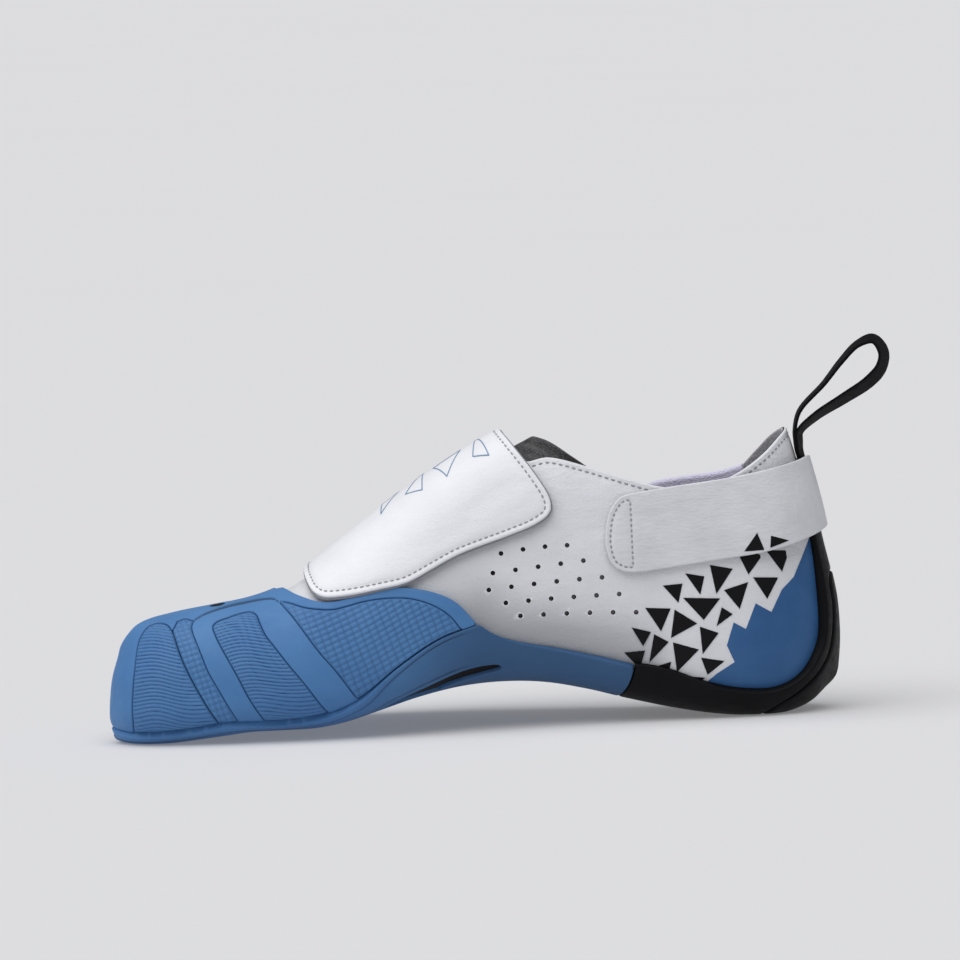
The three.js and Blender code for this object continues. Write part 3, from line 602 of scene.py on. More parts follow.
class Skin:
    """Stretch of the form's surface as a mesh, with named values at each of its points."""

    def __init__(self, values: Values, faces: list[Face]) -> None:
        """Keeps the values, one row a point, and the faces."""
        self.values = values
        self.faces = faces

    @property
    def point(self) -> Array:
        """Points on the form."""
        return self.values["point"]

    @property
    def normal(self) -> Array:
        """Outward normals."""
        return self.values["normal"]

    @property
    def depth(self) -> Array:
        """Distance inside the piece's outline, once it is trimmed."""
        return self.values["depth"]

    @property
    def at(self) -> Array:
        """Station of each point, as a share of the form's length."""
        return (1 - np.cos(self.values["angle"])) / 2

    def raised(self, away: Array | float) -> Array:
        """Points at a distance from the form."""
        return self.point + self.normal * np.reshape(away, (-1, 1))

    @classmethod
    def around(cls, at: Sequence[float], stations: int, steps: int) -> "Skin":
        """Skin all round the form between two stations.

        Args:
            at: first and last station, as shares of the form's length.
            stations: how many rows of faces lie along it.
            steps: how many faces lie around it.

        Returns:
            The skin, closed at the toe's front or the heel's back if it reaches them.
        """
        angles = np.linspace(*to_angle(np.array(at)), stations + 1)
        quarter = steps // 4
        part = np.arange(quarter) / quarter
        low = part * part * (3 - 2 * part)
        high = 0.6 * part + 0.4 * low
        turns = np.concatenate([low, 1 + high, [2.0], 2 + (1 - high[:0:-1]), [3.0], 3 + (1 - low[:0:-1])]) / 4
        angle, turn = np.meshgrid(angles, turns, indexing="ij")
        point = FORM.point(angle, turn)
        normal = FORM.normal(angle, turn)
        ids = np.arange(angle.size).reshape(angle.shape)
        count = len(turns)
        twin = (count - np.arange(count)) % count
        for row, end in ((0, 0.0), (stations, math.pi)):
            if abs(angles[row] - end) < TINY:
                point[row] = (point[row] + point[row][twin]) / 2
                normal[row] = normal[row] + normal[row][twin]
                normal[row][:, 1] = 0.0
                size = np.linalg.norm(normal[row], axis=1)
                for lost in np.flatnonzero(size < TINY):
                    beside = (normal[row][lost - 1] + normal[row][(lost + 1) % count]) / 2
                    normal[row][lost] = beside
                normal[row] /= np.linalg.norm(normal[row], axis=1, keepdims=True)
                ids[row] = ids[row][np.minimum(np.arange(count), twin)]
        faces = [tuple(dict.fromkeys(face)) for face in quads(ids, closed=True)]
        values = {
            "point": point.reshape(-1, 3),
            "normal": normal.reshape(-1, 3),
            "angle": angle.reshape(-1),
            "turn": turn.reshape(-1),
        }
        return cls(values, [face for face in faces if len(face) > 2])

    @classmethod
    def patch(cls, side: Side, x: Sequence[float], z: Sequence[float], columns: int, rows: int) -> "Skin":
        """Fine skin on one side, with its rows evenly spaced over the girth.

        Args:
            side: the side of the shoe.
            x: first and last place along the shoe, in millimetres.
            z: lowest and highest place, in millimetres.
            columns: how many faces lie along it.
            rows: how many faces lie up it.

        Returns:
            The skin, with "girth", the way up from the widest line, among its values.
        """
        fine = 160
        at = np.clip((np.linspace(*x, columns + 1) - FORM_FRONT) / FORM_LENGTH, 0.0, 1.0)
        lowest = FORM.section(at)["base"] + PATCH_RISE
        lowest = (lowest + z[0] + np.hypot(lowest - z[0], PATCH_BEND)) / 2
        highest = FORM.section(at)["top"] - PATCH_FALL
        highest = (highest + z[1] - np.hypot(highest - z[1], PATCH_BEND)) / 2
        angles = to_angle(at)
        up = np.linspace(0.0, 0.5, fine)
        turns = up if side is Side.LATERAL else 1 - up
        angle, turn = np.meshgrid(angles, turns, indexing="ij")
        ring = FORM.point(angle, turn)
        run = np.array([way_along(column) for column in ring])
        waist = np.array([np.interp(0.25, up, row) for row in run])
        share = np.linspace(0.0, 1.0, rows + 1)
        picked = np.empty((columns + 1, rows + 1))
        girth = np.empty_like(picked)
        for i in range(columns + 1):
            low, high = (np.interp(v, ring[i, :, 2], run[i]) for v in (lowest[i], highest[i]))
            girth[i] = low + (high - low) * share
            picked[i] = np.interp(girth[i], run[i], turns)
            girth[i] -= waist[i]
        angle = np.repeat(angles[:, None], rows + 1, axis=1)
        faces = quads(np.arange(angle.size).reshape(angle.shape))
        if side is Side.MEDIAL:
            faces = [face[::-1] for face in faces]
        values = {
            "point": FORM.point(angle, picked).reshape(-1, 3),
            "normal": FORM.normal(angle, picked).reshape(-1, 3),
            "angle": angle.reshape(-1),
            "turn": picked.reshape(-1),
            "girth": girth.reshape(-1),
        }
        return cls(values, faces)

    def tag(self, name: str, value: Array) -> "Skin":
        """Adds a named value at each point."""
        self.values[name] = value
        return self

    def split(self, name: str, level: float = 0.0, drop: bool = False) -> "Skin":
        """Cuts the faces along the line where a value has the given level.

        Args:
            name: the value.
            level: its level on the line.
            drop: whether the part below the level goes.

        Returns:
            The new skin.
        """
        measured = self.values[name] - level
        measured = np.where(np.abs(measured) < SNAP, 0.0, measured)
        v = measured.tolist()
        index: dict[tuple[int, int], int] = {}
        cuts: list[tuple[int, int, float]] = []

        def between(a: int, b: int) -> int:
            """New point on the edge of two points."""
            key = (a, b) if a < b else (b, a)
            if key not in index:
                index[key] = len(v) + len(cuts)
                cuts.append((*key, v[key[0]] / (v[key[0]] - v[key[1]])))
            return index[key]

        faces: list[Face] = []
        for face in self.faces:
            marks = [v[i] for i in face]
            if min(marks) >= 0:
                faces.append(face)
                continue
            if max(marks) <= 0:
                if not drop:
                    faces.append(face)
                continue
            for k in range(1, len(face) - 1):
                corners = (face[0], face[k], face[k + 1])
                above: list[int] = []
                below: list[int] = []
                for a, b in zip(corners, corners[1:] + corners[:1]):
                    if v[a] >= 0:
                        above.append(a)
                    if v[a] <= 0:
                        below.append(a)
                    if v[a] * v[b] < 0:
                        middle = between(a, b)
                        above.append(middle)
                        below.append(middle)
                if len(above) > 2:
                    faces.append(tuple(above))
                if len(below) > 2 and not drop:
                    faces.append(tuple(below))
        values = self.values
        if cuts:
            first = np.array([c[0] for c in cuts])
            second = np.array([c[1] for c in cuts])
            share = np.array([c[2] for c in cuts])
            values = {}
            for key, rows in self.values.items():
                t = share[:, None] if rows.ndim == 2 else share
                values[key] = np.concatenate([rows, rows[first] * (1 - t) + rows[second] * t])
            values["normal"] = values["normal"] / np.linalg.norm(values["normal"], axis=1, keepdims=True)
        return Skin(values, faces).compact()

    def compact(self) -> "Skin":
        """The same skin without the points that no face uses."""
        used = np.unique(np.concatenate([np.array(f) for f in self.faces]))
        place = np.full(len(self.point), -1)
        place[used] = np.arange(len(used))
        faces = [tuple(int(place[i]) for i in face) for face in self.faces]
        return Skin({key: rows[used] for key, rows in self.values.items()}, faces)

    @classmethod
    def joined(cls, skins: Sequence["Skin"]) -> "Skin":
        """One skin of several that have the same values."""
        starts = np.cumsum([0] + [len(skin.point) for skin in skins])
        faces = [tuple(i + int(start) for i in face) for skin, start in zip(skins, starts) for face in skin.faces]
        return cls({key: np.concatenate([skin.values[key] for skin in skins]) for key in skins[0].values}, faces)

    def straight(self, corners: Array, flat: Array) -> "Skin":
        """Keeps what lies inside a triangle, with its sharp corners.

        Args:
            corners: the triangle's side-view corners in millimetres, one row each.
            flat: side-view place of each of the skin's points.

        Returns:
            The new skin, with "flat_x" and "flat_z" among its values.
        """
        turned = np.roll(corners, -1, axis=0)
        area = float((corners[:, 0] * turned[:, 1] - turned[:, 0] * corners[:, 1]).sum())
        skin = self.tag("flat_x", flat[:, 0]).tag("flat_z", flat[:, 1])
        for start, end in zip(corners, turned):
            edge = (end - start) / np.linalg.norm(end - start) * math.copysign(1.0, area)
            here = (skin.values["flat_z"] - start[1]) * edge[0] - (skin.values["flat_x"] - start[0]) * edge[1]
            skin = skin.tag("edge", here).split("edge", drop=True)
        return skin

    def trim(self, depth: Array, levels: Sequence[float] = ()) -> "Skin":
        """Keeps what lies inside an outline and draws lines inside its edge.

        Args:
            depth: each point's distance inside the outline.
            levels: distances from the edge of the lines that a rounded rim needs.

        Returns:
            The trimmed skin, with "depth" among its values.
        """
        skin = self.tag("depth", depth).split("depth", drop=True)
        for level in levels:
            skin = skin.split("depth", level)
        return skin

    def lines(self, name: str, level: float) -> list[Array]:
        """Chains of points that lie where a value has the given level, after a split there."""
        on = np.abs(self.values[name] - level) < SNAP * 1.01
        links: dict[int, set[int]] = {}
        for face in self.faces:
            for a, b in zip(face, face[1:] + face[:1]):
                if on[a] and on[b]:
                    links.setdefault(a, set()).add(b)
                    links.setdefault(b, set()).add(a)
        chains = []
        while links:
            start = min(links, key=lambda i: (len(links[i]) != 1, i))
            chain = [start]
            while links.get(chain[-1]):
                here = chain[-1]
                onward = min(links[here])
                links[here].discard(onward)
                links[onward].discard(here)
                chain.append(onward)
            for i in chain:
                if i in links and not links[i]:
                    del links[i]
            chains.append(np.array(chain))
        return chains

    def seam(
        self, name: str, level: float, away: Array, least: int, keep: Array | None = None
    ) -> list[tuple[Array, Array]]:
        """Lines that a seam follows, where a value has the given level.

        Args:
            name: the value.
            level: its level on the lines, where the skin has been split.
            away: distance of the stitched surface from the form at each point.
            least: a line with this many points or fewer is left out.
            keep: which points may be stitched; all of them without it.

        Returns:
            Each line's points on the surface and its normals there.
        """
        surface = self.raised(away)
        chains = self.lines(name, level)
        if keep is not None:
            chains = [chain[keep[chain]] for chain in chains]
        return [(surface[chain], self.normal[chain]) for chain in chains if len(chain) > least]

    def solid(
        self,
        name: str,
        outer: Array,
        inner: Array | float,
        finishes: Sequence[Material],
        floor: float | None = None,
        shade: Array | None = None,
    ) -> Piece:
        """Closed piece between two distances from the form.

        Args:
            name: the piece's name.
            outer: distance of its outer side at each point.
            inner: distance of its inner side, at each point or everywhere.
            finishes: materials of the outer side, the inner side and the rim; the last one given does for the rest.
            floor: lowest height that it may reach.
            shade: painted shade of its outer side at each point, from 0 to 1.

        Returns:
            The object.
        """
        count = len(self.point)
        top, bottom = self.raised(outer), self.raised(inner)
        if floor is not None:
            top[:, 2] = np.maximum(top[:, 2], floor)
            bottom[:, 2] = np.maximum(bottom[:, 2], floor + 0.5)
        edges: dict[tuple[int, int], int] = {}
        for face in self.faces:
            for a, b in zip(face, face[1:] + face[:1]):
                edges[(a, b)] = edges.get((a, b), 0) + 1
        rim = [(b, a, a + count, b + count) for a, b in edges if (b, a) not in edges]
        faces = self.faces + [tuple(i + count for i in reversed(face)) for face in self.faces] + rim
        kinds = [0] * len(self.faces) + [1] * len(self.faces) + [2] * len(rim)
        piece = make_piece(name, np.concatenate([top, bottom]), faces, finishes, kinds)
        # painted shade, kept at each point for the finish to read
        if shade is not None:
            layer = piece.data.attributes.new("shade", "FLOAT", "POINT")
            layer.data.foreach_set("value", np.tile(shade, 2).astype(np.float32))
        return piece


def make_piece(
    name: str,
    points: Array,
    faces: Sequence[Sequence[int]],
    finishes: Sequence[Material],
    kinds: Sequence[int] | None = None,
    crease: float = SHARP_ANGLE,
) -> Piece:
    """Mesh object of points in the shoe's millimetres.

    Args:
        name: the piece's name.
        points: the points, one row each.
        faces: the faces' corners.
        finishes: its materials.
        kinds: each face's material; past the last one, the last one is taken.
        crease: angle in degrees past which an edge is drawn sharp.

    Returns:
        The object, at the origin and smooth.
    """
    mesh = bpy.data.meshes.new(name)
    mesh.from_pydata(to_frame(points).tolist(), [], [list(f) for f in faces])
    mesh.validate()
    piece = bpy.data.objects.new(name, mesh)
    bpy.context.scene.collection.objects.link(piece)
    for finish in finishes:
        mesh.materials.append(finish)
    if kinds is not None and len(kinds) == len(mesh.polygons):
        last = len(finishes) - 1
        mesh.polygons.foreach_set("material_index", [min(kind, last) for kind in kinds])
    smooth(piece, crease)
    return piece


def pick(piece: Piece) -> None:
    """Makes a piece the only selected and the active one."""
    bpy.ops.object.select_all(action="DESELECT")
    piece.select_set(True)
    bpy.context.view_layer.objects.active = piece


def smooth(piece: Piece, crease: float) -> None:
    """Shades a piece smooth, with edges past an angle in degrees drawn sharp."""
    pick(piece)
    bpy.ops.object.shade_smooth_by_angle(angle=math.radians(crease))


def settle(piece: Piece, slot: str, *nodes: str) -> Piece:
    """Puts a finished piece on the shoe's body.

    Args:
        piece: the piece.
        slot: the record's material slot of its finish; not used.
        nodes: the solids that it stands for.

    Returns:
        The piece.
    """
    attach(piece, "root")
    if nodes:
        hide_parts(*nodes)
    log.info("%s: %d faces", piece.name, len(piece.data.polygons))
    return piece


# Finishes


def linear(red: int, green: int, blue: int) -> tuple[float, float, float, float]:
    """Colour of a screen's three numbers as the shader takes it."""
    parts = (v / 255 for v in (red, green, blue))
    return (*(v / 12.92 if v <= 0.04045 else ((v + 0.055) / 1.055) ** 2.4 for v in parts), 1.0)


class Shader:
    """Node tree of one finish, built by short calls on the piece's own coordinates in millimetres."""

    def __init__(self, name: str) -> None:
        """Starts a material with its output and its surface shader."""
        self.material = bpy.data.materials.new(name)
        self.material.use_nodes = True
        self.tree = self.material.node_tree
        self.tree.nodes.clear()
        self.surface = self.add("ShaderNodeBsdfPrincipled")
        output = self.add("ShaderNodeOutputMaterial")
        self.link(self.surface.outputs["BSDF"], output.inputs["Surface"])
        self.place = self.add("ShaderNodeTexCoord").outputs["Object"]

    def add(self, kind: str, **inputs: object) -> bpy.types.Node:
        """Adds a node with its inputs."""
        return self.feed(self.tree.nodes.new(kind), inputs)

    def feed(self, node: bpy.types.Node, inputs: dict[str, object]) -> bpy.types.Node:
        """Sets each named input of a node to a value or links it to a socket."""
        for name, value in inputs.items():
            socket = node.inputs[name.replace("_", " ")]
            if isinstance(value, Socket):
                self.link(value, socket)
            else:
                socket.default_value = value
        return node

    def link(self, source: Socket, target: Socket) -> None:
        """Joins two sockets."""
        self.tree.links.new(source, target)

    def scaled(self, scale: Sequence[float] = (1, 1, 1), turn: Sequence[float] = (0, 0, 0)) -> Socket:
        """The piece's coordinates in millimetres, stretched by a scale and turned by angles in degrees."""
        mapping = self.add("ShaderNodeMapping", Vector=self.place)
        mapping.inputs["Scale"].default_value = [s / MM for s in scale]
        mapping.inputs["Rotation"].default_value = [math.radians(a) for a in turn]
        return mapping.outputs["Vector"]

    def noise(
        self, size: float, detail: float = 2.0, scale: Sequence[float] = (1, 1, 1), turn: Sequence[float] = (0, 0, 0)
    ) -> Socket:
        """Noise whose spots have a size in millimetres."""
        node = self.add("ShaderNodeTexNoise", Vector=self.scaled(scale, turn), Scale=1.0 / size, Detail=detail)
        return node.outputs["Fac"]

    def cells(self, size: float, scale: Sequence[float] = (1, 1, 1)) -> Socket:
        """Distance to the middle of cells of a size in millimetres."""
        node = self.add("ShaderNodeTexVoronoi", Vector=self.scaled(scale), Scale=1.0 / size)
        node.feature = "SMOOTH_F1"
        node.inputs["Smoothness"].default_value = 0.4
        return node.outputs["Distance"]

    def ramp(
        self, value: Socket, low: float, high: float, start: float = 0.0, end: float = 1.0
    ) -> Socket:
        """Value brought from one range to another."""
        node = self.add("ShaderNodeMapRange", Value=value, From_Min=low, From_Max=high, To_Min=start, To_Max=end)
        return node.outputs["Result"]

    def blend(
        self, share: Socket, first: Sequence[float] | Socket, second: Sequence[float]
    ) -> Socket:
        """Colour between two by a share."""
        node = self.tree.nodes.new("ShaderNodeMix")
        node.data_type = "RGBA"
        self.link(share, node.inputs[0])
        if isinstance(first, Socket):
            self.link(first, node.inputs[6])
        else:
            node.inputs[6].default_value = first
        node.inputs[7].default_value = second
        return node.outputs[2]

    def sum(self, first: Socket, second: Socket, weight: float) -> Socket:
        """First value plus a weight times the second."""
        node = self.tree.nodes.new("ShaderNodeMath")
        node.operation = "MULTIPLY_ADD"
        self.link(second, node.inputs[0])
        node.inputs[1].default_value = weight
        self.link(first, node.inputs[2])
        return node.outputs[0]

    def bump(self, height: Socket, depth: float, strength: float = 1.0) -> None:
        """Bumps of a depth in millimetres."""
        node = self.add("ShaderNodeBump", Height=height, Strength=strength, Distance=depth * MM)
        self.link(node.outputs["Normal"], self.surface.inputs["Normal"])

    def set(self, **values: object) -> None:
        """Sets or links sockets of the surface."""
        self.feed(self.surface, values)

    def shade(self) -> Socket:
        """The painted shade that the piece holds at each point, or 0 where it holds none."""
        node = self.add("ShaderNodeAttribute")
        node.attribute_name = "shade"
        return node.outputs["Fac"]


@dataclass(frozen=True)
class Leather:
    """Smooth coated leather with a fine pebbled grain, greyed by painted shade where its piece holds a shade."""

    name: str
    colour: Tone
    shade: Tone
    grain: float = 0.75
    depth: float = 0.09
    roughness: float = 0.42
    stretch: tuple[float, float, float] = (1, 1, 1)
    # grey that the leather turns towards where its piece holds painted shade
    worn_and_painted_shade: Tone = (166, 167, 172)
    wrinkle: float = 3.2

    def material(self) -> Material:
        """Makes the material."""
        s = Shader(self.name)
        cells = s.cells(self.grain, self.stretch)
        soft = s.noise(14.0, 3.0)
        fine = s.noise(0.22, 2.0, self.stretch)
        tone = s.ramp(soft, 0.35, 0.7)
        plain = s.blend(tone, linear(*self.colour), linear(*self.shade))
        # painted shade: the colour turns grey where the piece holds a shade
        s.set(Base_Color=s.blend(s.shade(), plain, linear(*self.worn_and_painted_shade)))
        s.set(Roughness=s.ramp(fine, 0.3, 0.7, self.roughness - 0.05, self.roughness + 0.07))
        s.set(Specular_IOR_Level=0.42)
        wrinkle = s.noise(3.4, 3.0, (0.4, 1, 1), (0, -14, 0))
        s.bump(s.sum(s.sum(cells, fine, 0.5), wrinkle, self.wrinkle), self.depth)
        return s.material


@dataclass(frozen=True)
class Rubber:
    """Matt moulded rubber with a dusty bloom, darkened by painted shade where its piece holds a shade."""

    name: str
    colour: Tone
    bloom: Tone
    roughness: float = 0.55
    gloss: float = 0.4
    # share of its colour that is left where the painted shade is fullest
    darkest: float = 0.3

    def material(self) -> Material:
        """Makes the material."""
        s = Shader(self.name)
        cloud = s.noise(22.0, 4.0)
        grit = s.noise(0.35, 3.0)
        scuff = s.noise(2.2, 3.0, (0.35, 1, 1), (0, 20, 0))
        tone = s.ramp(s.sum(cloud, grit, 0.25), 0.45, 0.85)
        plain = s.blend(tone, linear(*self.colour), linear(*self.bloom))
        # painted shade: the colour darkens towards deep where the piece holds a shade
        deep = (*(c * self.darkest for c in linear(*self.colour)[:3]), 1.0)
        s.set(Base_Color=s.blend(s.shade(), plain, deep))
        s.set(Roughness=s.ramp(scuff, 0.3, 0.75, self.roughness - 0.06, self.roughness + 0.1))
        s.set(Specular_IOR_Level=self.gloss)
        s.bump(grit, 0.03)
        return s.material


@dataclass(frozen=True)
class Cloth:
    """Knitted or woven cloth, with fibres of two tones."""

    name: str
    colour: Tone
    fibre: Tone
    thread: float = 0.6
    depth: float = 0.16
    roughness: float = 0.9
    fuzz: float = 0.25

    def material(self) -> Material:
        """Makes the material."""
        s = Shader(self.name)
        heather = s.noise(self.thread * 0.8, 4.0, (0.35, 1, 1), (0, 35, 0))
        loops = s.cells(self.thread, (0.7, 1, 1))
        cloud = s.noise(9.0, 3.0)
        tone = s.ramp(s.sum(heather, cloud, 0.3), 0.52, 0.86)
        s.set(Base_Color=s.blend(tone, linear(*self.colour), linear(*self.fibre)))
        s.set(Roughness=s.ramp(heather, 0.2, 0.8, self.roughness - 0.08, self.roughness))
        s.set(Sheen_Weight=self.fuzz, Sheen_Roughness=0.5)
        s.bump(s.sum(loops, heather, 0.7), self.depth)
        return s.material


@dataclass(frozen=True)
class Webbing:
    """Narrow woven tape with ribs across it, on its own map."""

    name: str
    colour: Tone
    sheen: Tone

    def material(self) -> Material:
        """Makes the material."""
        s = Shader(self.name)
        s.place = s.add("ShaderNodeTexCoord").outputs["UV"]
        wave = s.add("ShaderNodeTexWave", Vector=s.place, Scale=36.0, Distortion=0.6)
        wave.bands_direction = "DIAGONAL"
        grain = s.add("ShaderNodeTexNoise", Vector=s.place, Scale=60.0, Detail=3.0).outputs["Fac"]
        tone = s.ramp(s.sum(grain, wave.outputs["Fac"], 0.25), 0.45, 0.95)
        s.set(Base_Color=s.blend(tone, linear(*self.colour), linear(*self.sheen)))
        s.set(Roughness=s.ramp(grain, 0.3, 0.7, 0.6, 0.75), Specular_IOR_Level=0.12)
        s.bump(s.sum(wave.outputs["Fac"], grain, 0.4), 0.12)
        return s.material


@dataclass(frozen=True)
class Print:
    """Printed film on the leather, whose grain shows through a little; the same finish gives the dark painted shade
    inside holes.
    """

    name: str
    colour: Tone
    # the print's second tone, where it looks worn; a print holds no painted shade
    worn_and_painted_shade: Tone
    roughness: float = 0.45

    def material(self) -> Material:
        """Makes the material."""
        s = Shader(self.name)
        cloud = s.noise(16.0, 4.0)
        grain = s.cells(0.75)
        fine = s.noise(0.3, 2.0)
        s.set(Base_Color=s.blend(s.ramp(cloud, 0.35, 0.8), linear(*self.colour), linear(*self.worn_and_painted_shade)))
        s.set(Roughness=s.ramp(fine, 0.3, 0.7, self.roughness - 0.05, self.roughness + 0.05))
        s.set(Specular_IOR_Level=0.2)
        s.bump(s.sum(grain, fine, 0.4), 0.03)
        return s.material


@dataclass(frozen=True)
class Floor:
    """Plain pale floor, with a painted glow of its own that lightens the shoe's shadow on it."""

    name: str
    colour: Tone
    glow: float = 0.28

    def material(self) -> Material:
        """Makes the material."""
        s = Shader(self.name)
        tone = s.ramp(s.noise(400.0, 2.0), 0.3, 0.7)
        base = linear(*self.colour)
        s.set(Base_Color=s.blend(tone, base, [c * 0.99 for c in base[:3]] + [1.0]))
        # painted light: the floor glows, which lightens the shoe's shadow on it
        s.set(Roughness=0.9, Specular_IOR_Level=0.1, Emission_Color=base, Emission_Strength=self.glow)
        return s.material


def made_of(finish: Leather | Rubber | Cloth | Webbing | Print) -> Material:
    """Field that makes the finish's material with the shoe's other ones."""
    return field(default_factory=finish.material)


@dataclass
class Finishes:
    """All the shoe's finishes."""

    blue_rubber: Material = made_of(Rubber("blue rubber", (70, 119, 174), (80, 130, 183), 0.55, 0.32))
    black_rubber: Material = made_of(Rubber("black rubber", (8, 8, 11), (14, 14, 18), 0.5, 0.13))
    leather: Material = made_of(Leather("white leather", (226, 227, 231), (219, 220, 225)))
    strap: Material = made_of(Leather("strap leather", (236, 237, 241), (230, 231, 236), 0.6, 0.06))
    heel_strap: Material = made_of(
        Leather("heel strap leather", (220, 221, 225), (209, 210, 216), 0.8, 0.1, 0.45, (0.35, 1, 1))
    )
    edge: Material = made_of(Leather("cut edge", (196, 197, 202), (172, 173, 179), 0.5, 0.06, 0.6))
    # grey of the strap's lower layer, partly its own colour and partly painted shade under the strap's edge
    backing_and_painted_shade: Material = made_of(Leather("strap backing", (150, 151, 157), (134, 135, 141), 0.5, 0.06, 0.6))
    lining: Material = made_of(Cloth("grey lining", (150, 150, 155), (190, 189, 194), 0.7, 0.12))
    lilac: Material = made_of(Cloth("lilac plush", (212, 208, 234), (226, 223, 243), 0.5, 0.2, 0.95, 0.6))
    knit: Material = made_of(Cloth("dark knit", (34, 34, 36), (92, 90, 92), 0.5, 0.2))
    board: Material = made_of(Cloth("insole cloth", (66, 66, 70), (98, 98, 103), 0.8, 0.12))
    webbing: Material = made_of(Webbing("black webbing", (5, 5, 8), (19, 18, 24)))
    thread: Material = made_of(Cloth("grey thread", (142, 143, 150), (172, 173, 180), 0.3, 0.05, 0.7))
    blue_print: Material = made_of(Print("blue print", (50, 92, 142), (60, 103, 153)))
    black_print: Material = made_of(Print("black print", (4, 4, 7), (9, 9, 13), 0.55))
    line_print: Material = made_of(Print("pale blue line", (112, 140, 172), (132, 158, 188)))
    # painted shade: dark colour that stands in for the shade inside the pinholes and the cap's slot
    hole: Material = made_of(Print("painted hole shade", (22, 22, 25), (34, 34, 38), 0.8))


@dataclass
class Seam:
    """Row of short stitches that lie half sunk in a surface."""

    finishes: Finishes
    pitch: float = 2.05
    length: float = 1.4
    width: float = 0.62
    height: float = 0.5
    aim: float = 0.4

    def one(self) -> tuple[Array, list[Face]]:
        """Models one stitch, along x and standing on z, and gives its points and faces."""
        bpy.ops.object.select_all(action="DESELECT")
        bpy.ops.mesh.primitive_uv_sphere_add(segments=8, ring_count=6, radius=0.5)
        ball = bpy.context.object
        bpy.ops.object.mode_set(mode="EDIT")
        bpy.ops.mesh.select_all(action="SELECT")
        bpy.ops.transform.rotate(value=math.pi / 2, orient_axis="Y", center_override=(0, 0, 0))
        bpy.ops.transform.resize(value=(self.length, self.width, self.height), center_override=(0, 0, 0))
        bpy.ops.object.mode_set(mode="OBJECT")
        points = np.array([tuple(v.co) for v in ball.data.vertices])
        faces = [tuple(p.vertices) for p in ball.data.polygons]
        bpy.data.objects.remove(ball)
        return points, faces

    def lay(self, name: str, chains: Sequence[tuple[Array, Array]]) -> Piece:
        """Lays stitches along lines.

        Args:
            name: the piece's name.
            chains: each line's points on the surface and normals there.

        Returns:
            One piece that holds all the stitches.
        """
        base, base_faces = self.one()
        points: list[Array] = []
        faces: list[Face] = []
        start = 0
        for line, normals in chains:
            run = way_along(line)
            count = max(int(run[-1] // self.pitch), 1)
            marks = (np.arange(count) + 0.5) * run[-1] / count
            middle = rows_at(marks, run, line)
            ahead = rows_at(marks + self.aim, run, line) - rows_at(marks - self.aim, run, line)
            for centre, tangent, out in zip(middle, ahead, rows_at(marks, run, normals)):
                if np.linalg.norm(tangent) < TINY:
                    continue
                tangent = tangent / np.linalg.norm(tangent)
                across = np.cross(out, tangent)
                across /= np.linalg.norm(across)
                axes = np.stack([tangent, across, np.cross(tangent, across)])
                points.append(centre + base @ axes)
                faces += [tuple(i + start for i in f) for f in base_faces]
                start += len(base)
        return make_piece(name, np.concatenate(points), faces, [self.finishes.thread], crease=80)


# Regions that several pieces share

SOLE_REGION = Region(outline(side_line("foxing"), side_line("arch")[1:], side_line("sole_end")[1:], (-0.03, -0.12)))
SLOT_REGION = Region(side_line("slot"))
SLOT_END = float(FORM.section(0.4)["medial"]) + SLOT_REACH
RAND_REGION = Region(outline(side_line("rand"), side_line("sole_end")[1:], (1.06, -0.12), (1.06, 0.655)))
BUMPER_REGION = Region(outline(side_line("bumper"), (0.879, -0.12), (1.06, -0.12), (1.06, 0.5)))
CAP_SPLIT = float(FORM.section(0.22)["ridge"])
STRAP_SPLIT = float(FORM.section(0.45)["ridge"])


def cap_outline(top: str) -> Array:
    """Outline of the toe cap up to one of its top edges."""
    return outline((-0.03, 1.5), (-0.03, 0.0), (0.52, 0.0), side_line(top)[::-1], (0.23, 1.5))


@dataclass
class Panel:
    """Patterned panel let into the cap.

    Its ribs rise to a hump, whose place moves by its slope with the height over a level, and fall off beside it by
    a drop over a width. Its pads lie at a pitch along and across it, with both rows tilted.
    """

    name: str
    region: Region
    relief: Relief
    x: Pair
    z: Pair
    columns: int
    rows: int
    hump: Pair = (0.0, 0.0)
    fall: Pair = (3.0, 8.0)
    pitch: Pair = (2.7, 1.18)
    sides: tuple[Side, ...] = (Side.MEDIAL, Side.LATERAL)
    hump_level: float = 27.0
    tilt: Pair = (0.19, 0.3)

    def relief_at(self, skin: Skin) -> Array:
        """Height of the moulded pattern over the panel's floor, from 0 to 1."""
        x, z, girth = skin.point[:, 0], skin.point[:, 2], skin.values["girth"]
        if self.relief is Relief.RIBS:
            middle = self.hump[0] - self.hump[1] * (z - self.hump_level)
            fall = self.fall[0] * (1 - np.exp(-(((x - middle) / self.fall[1]) ** 2)))
            return np.abs(np.sin(math.pi * (girth + fall) / self.pitch[1])) ** 0.6
        tilt = girth - self.tilt[0] * (x - self.x[0])
        along = np.abs(np.sin(math.pi * (x + self.tilt[1] * girth) / self.pitch[0])) ** 0.35
        across = np.abs(np.sin(math.pi * tilt / self.pitch[1])) ** 0.45
        return along * across


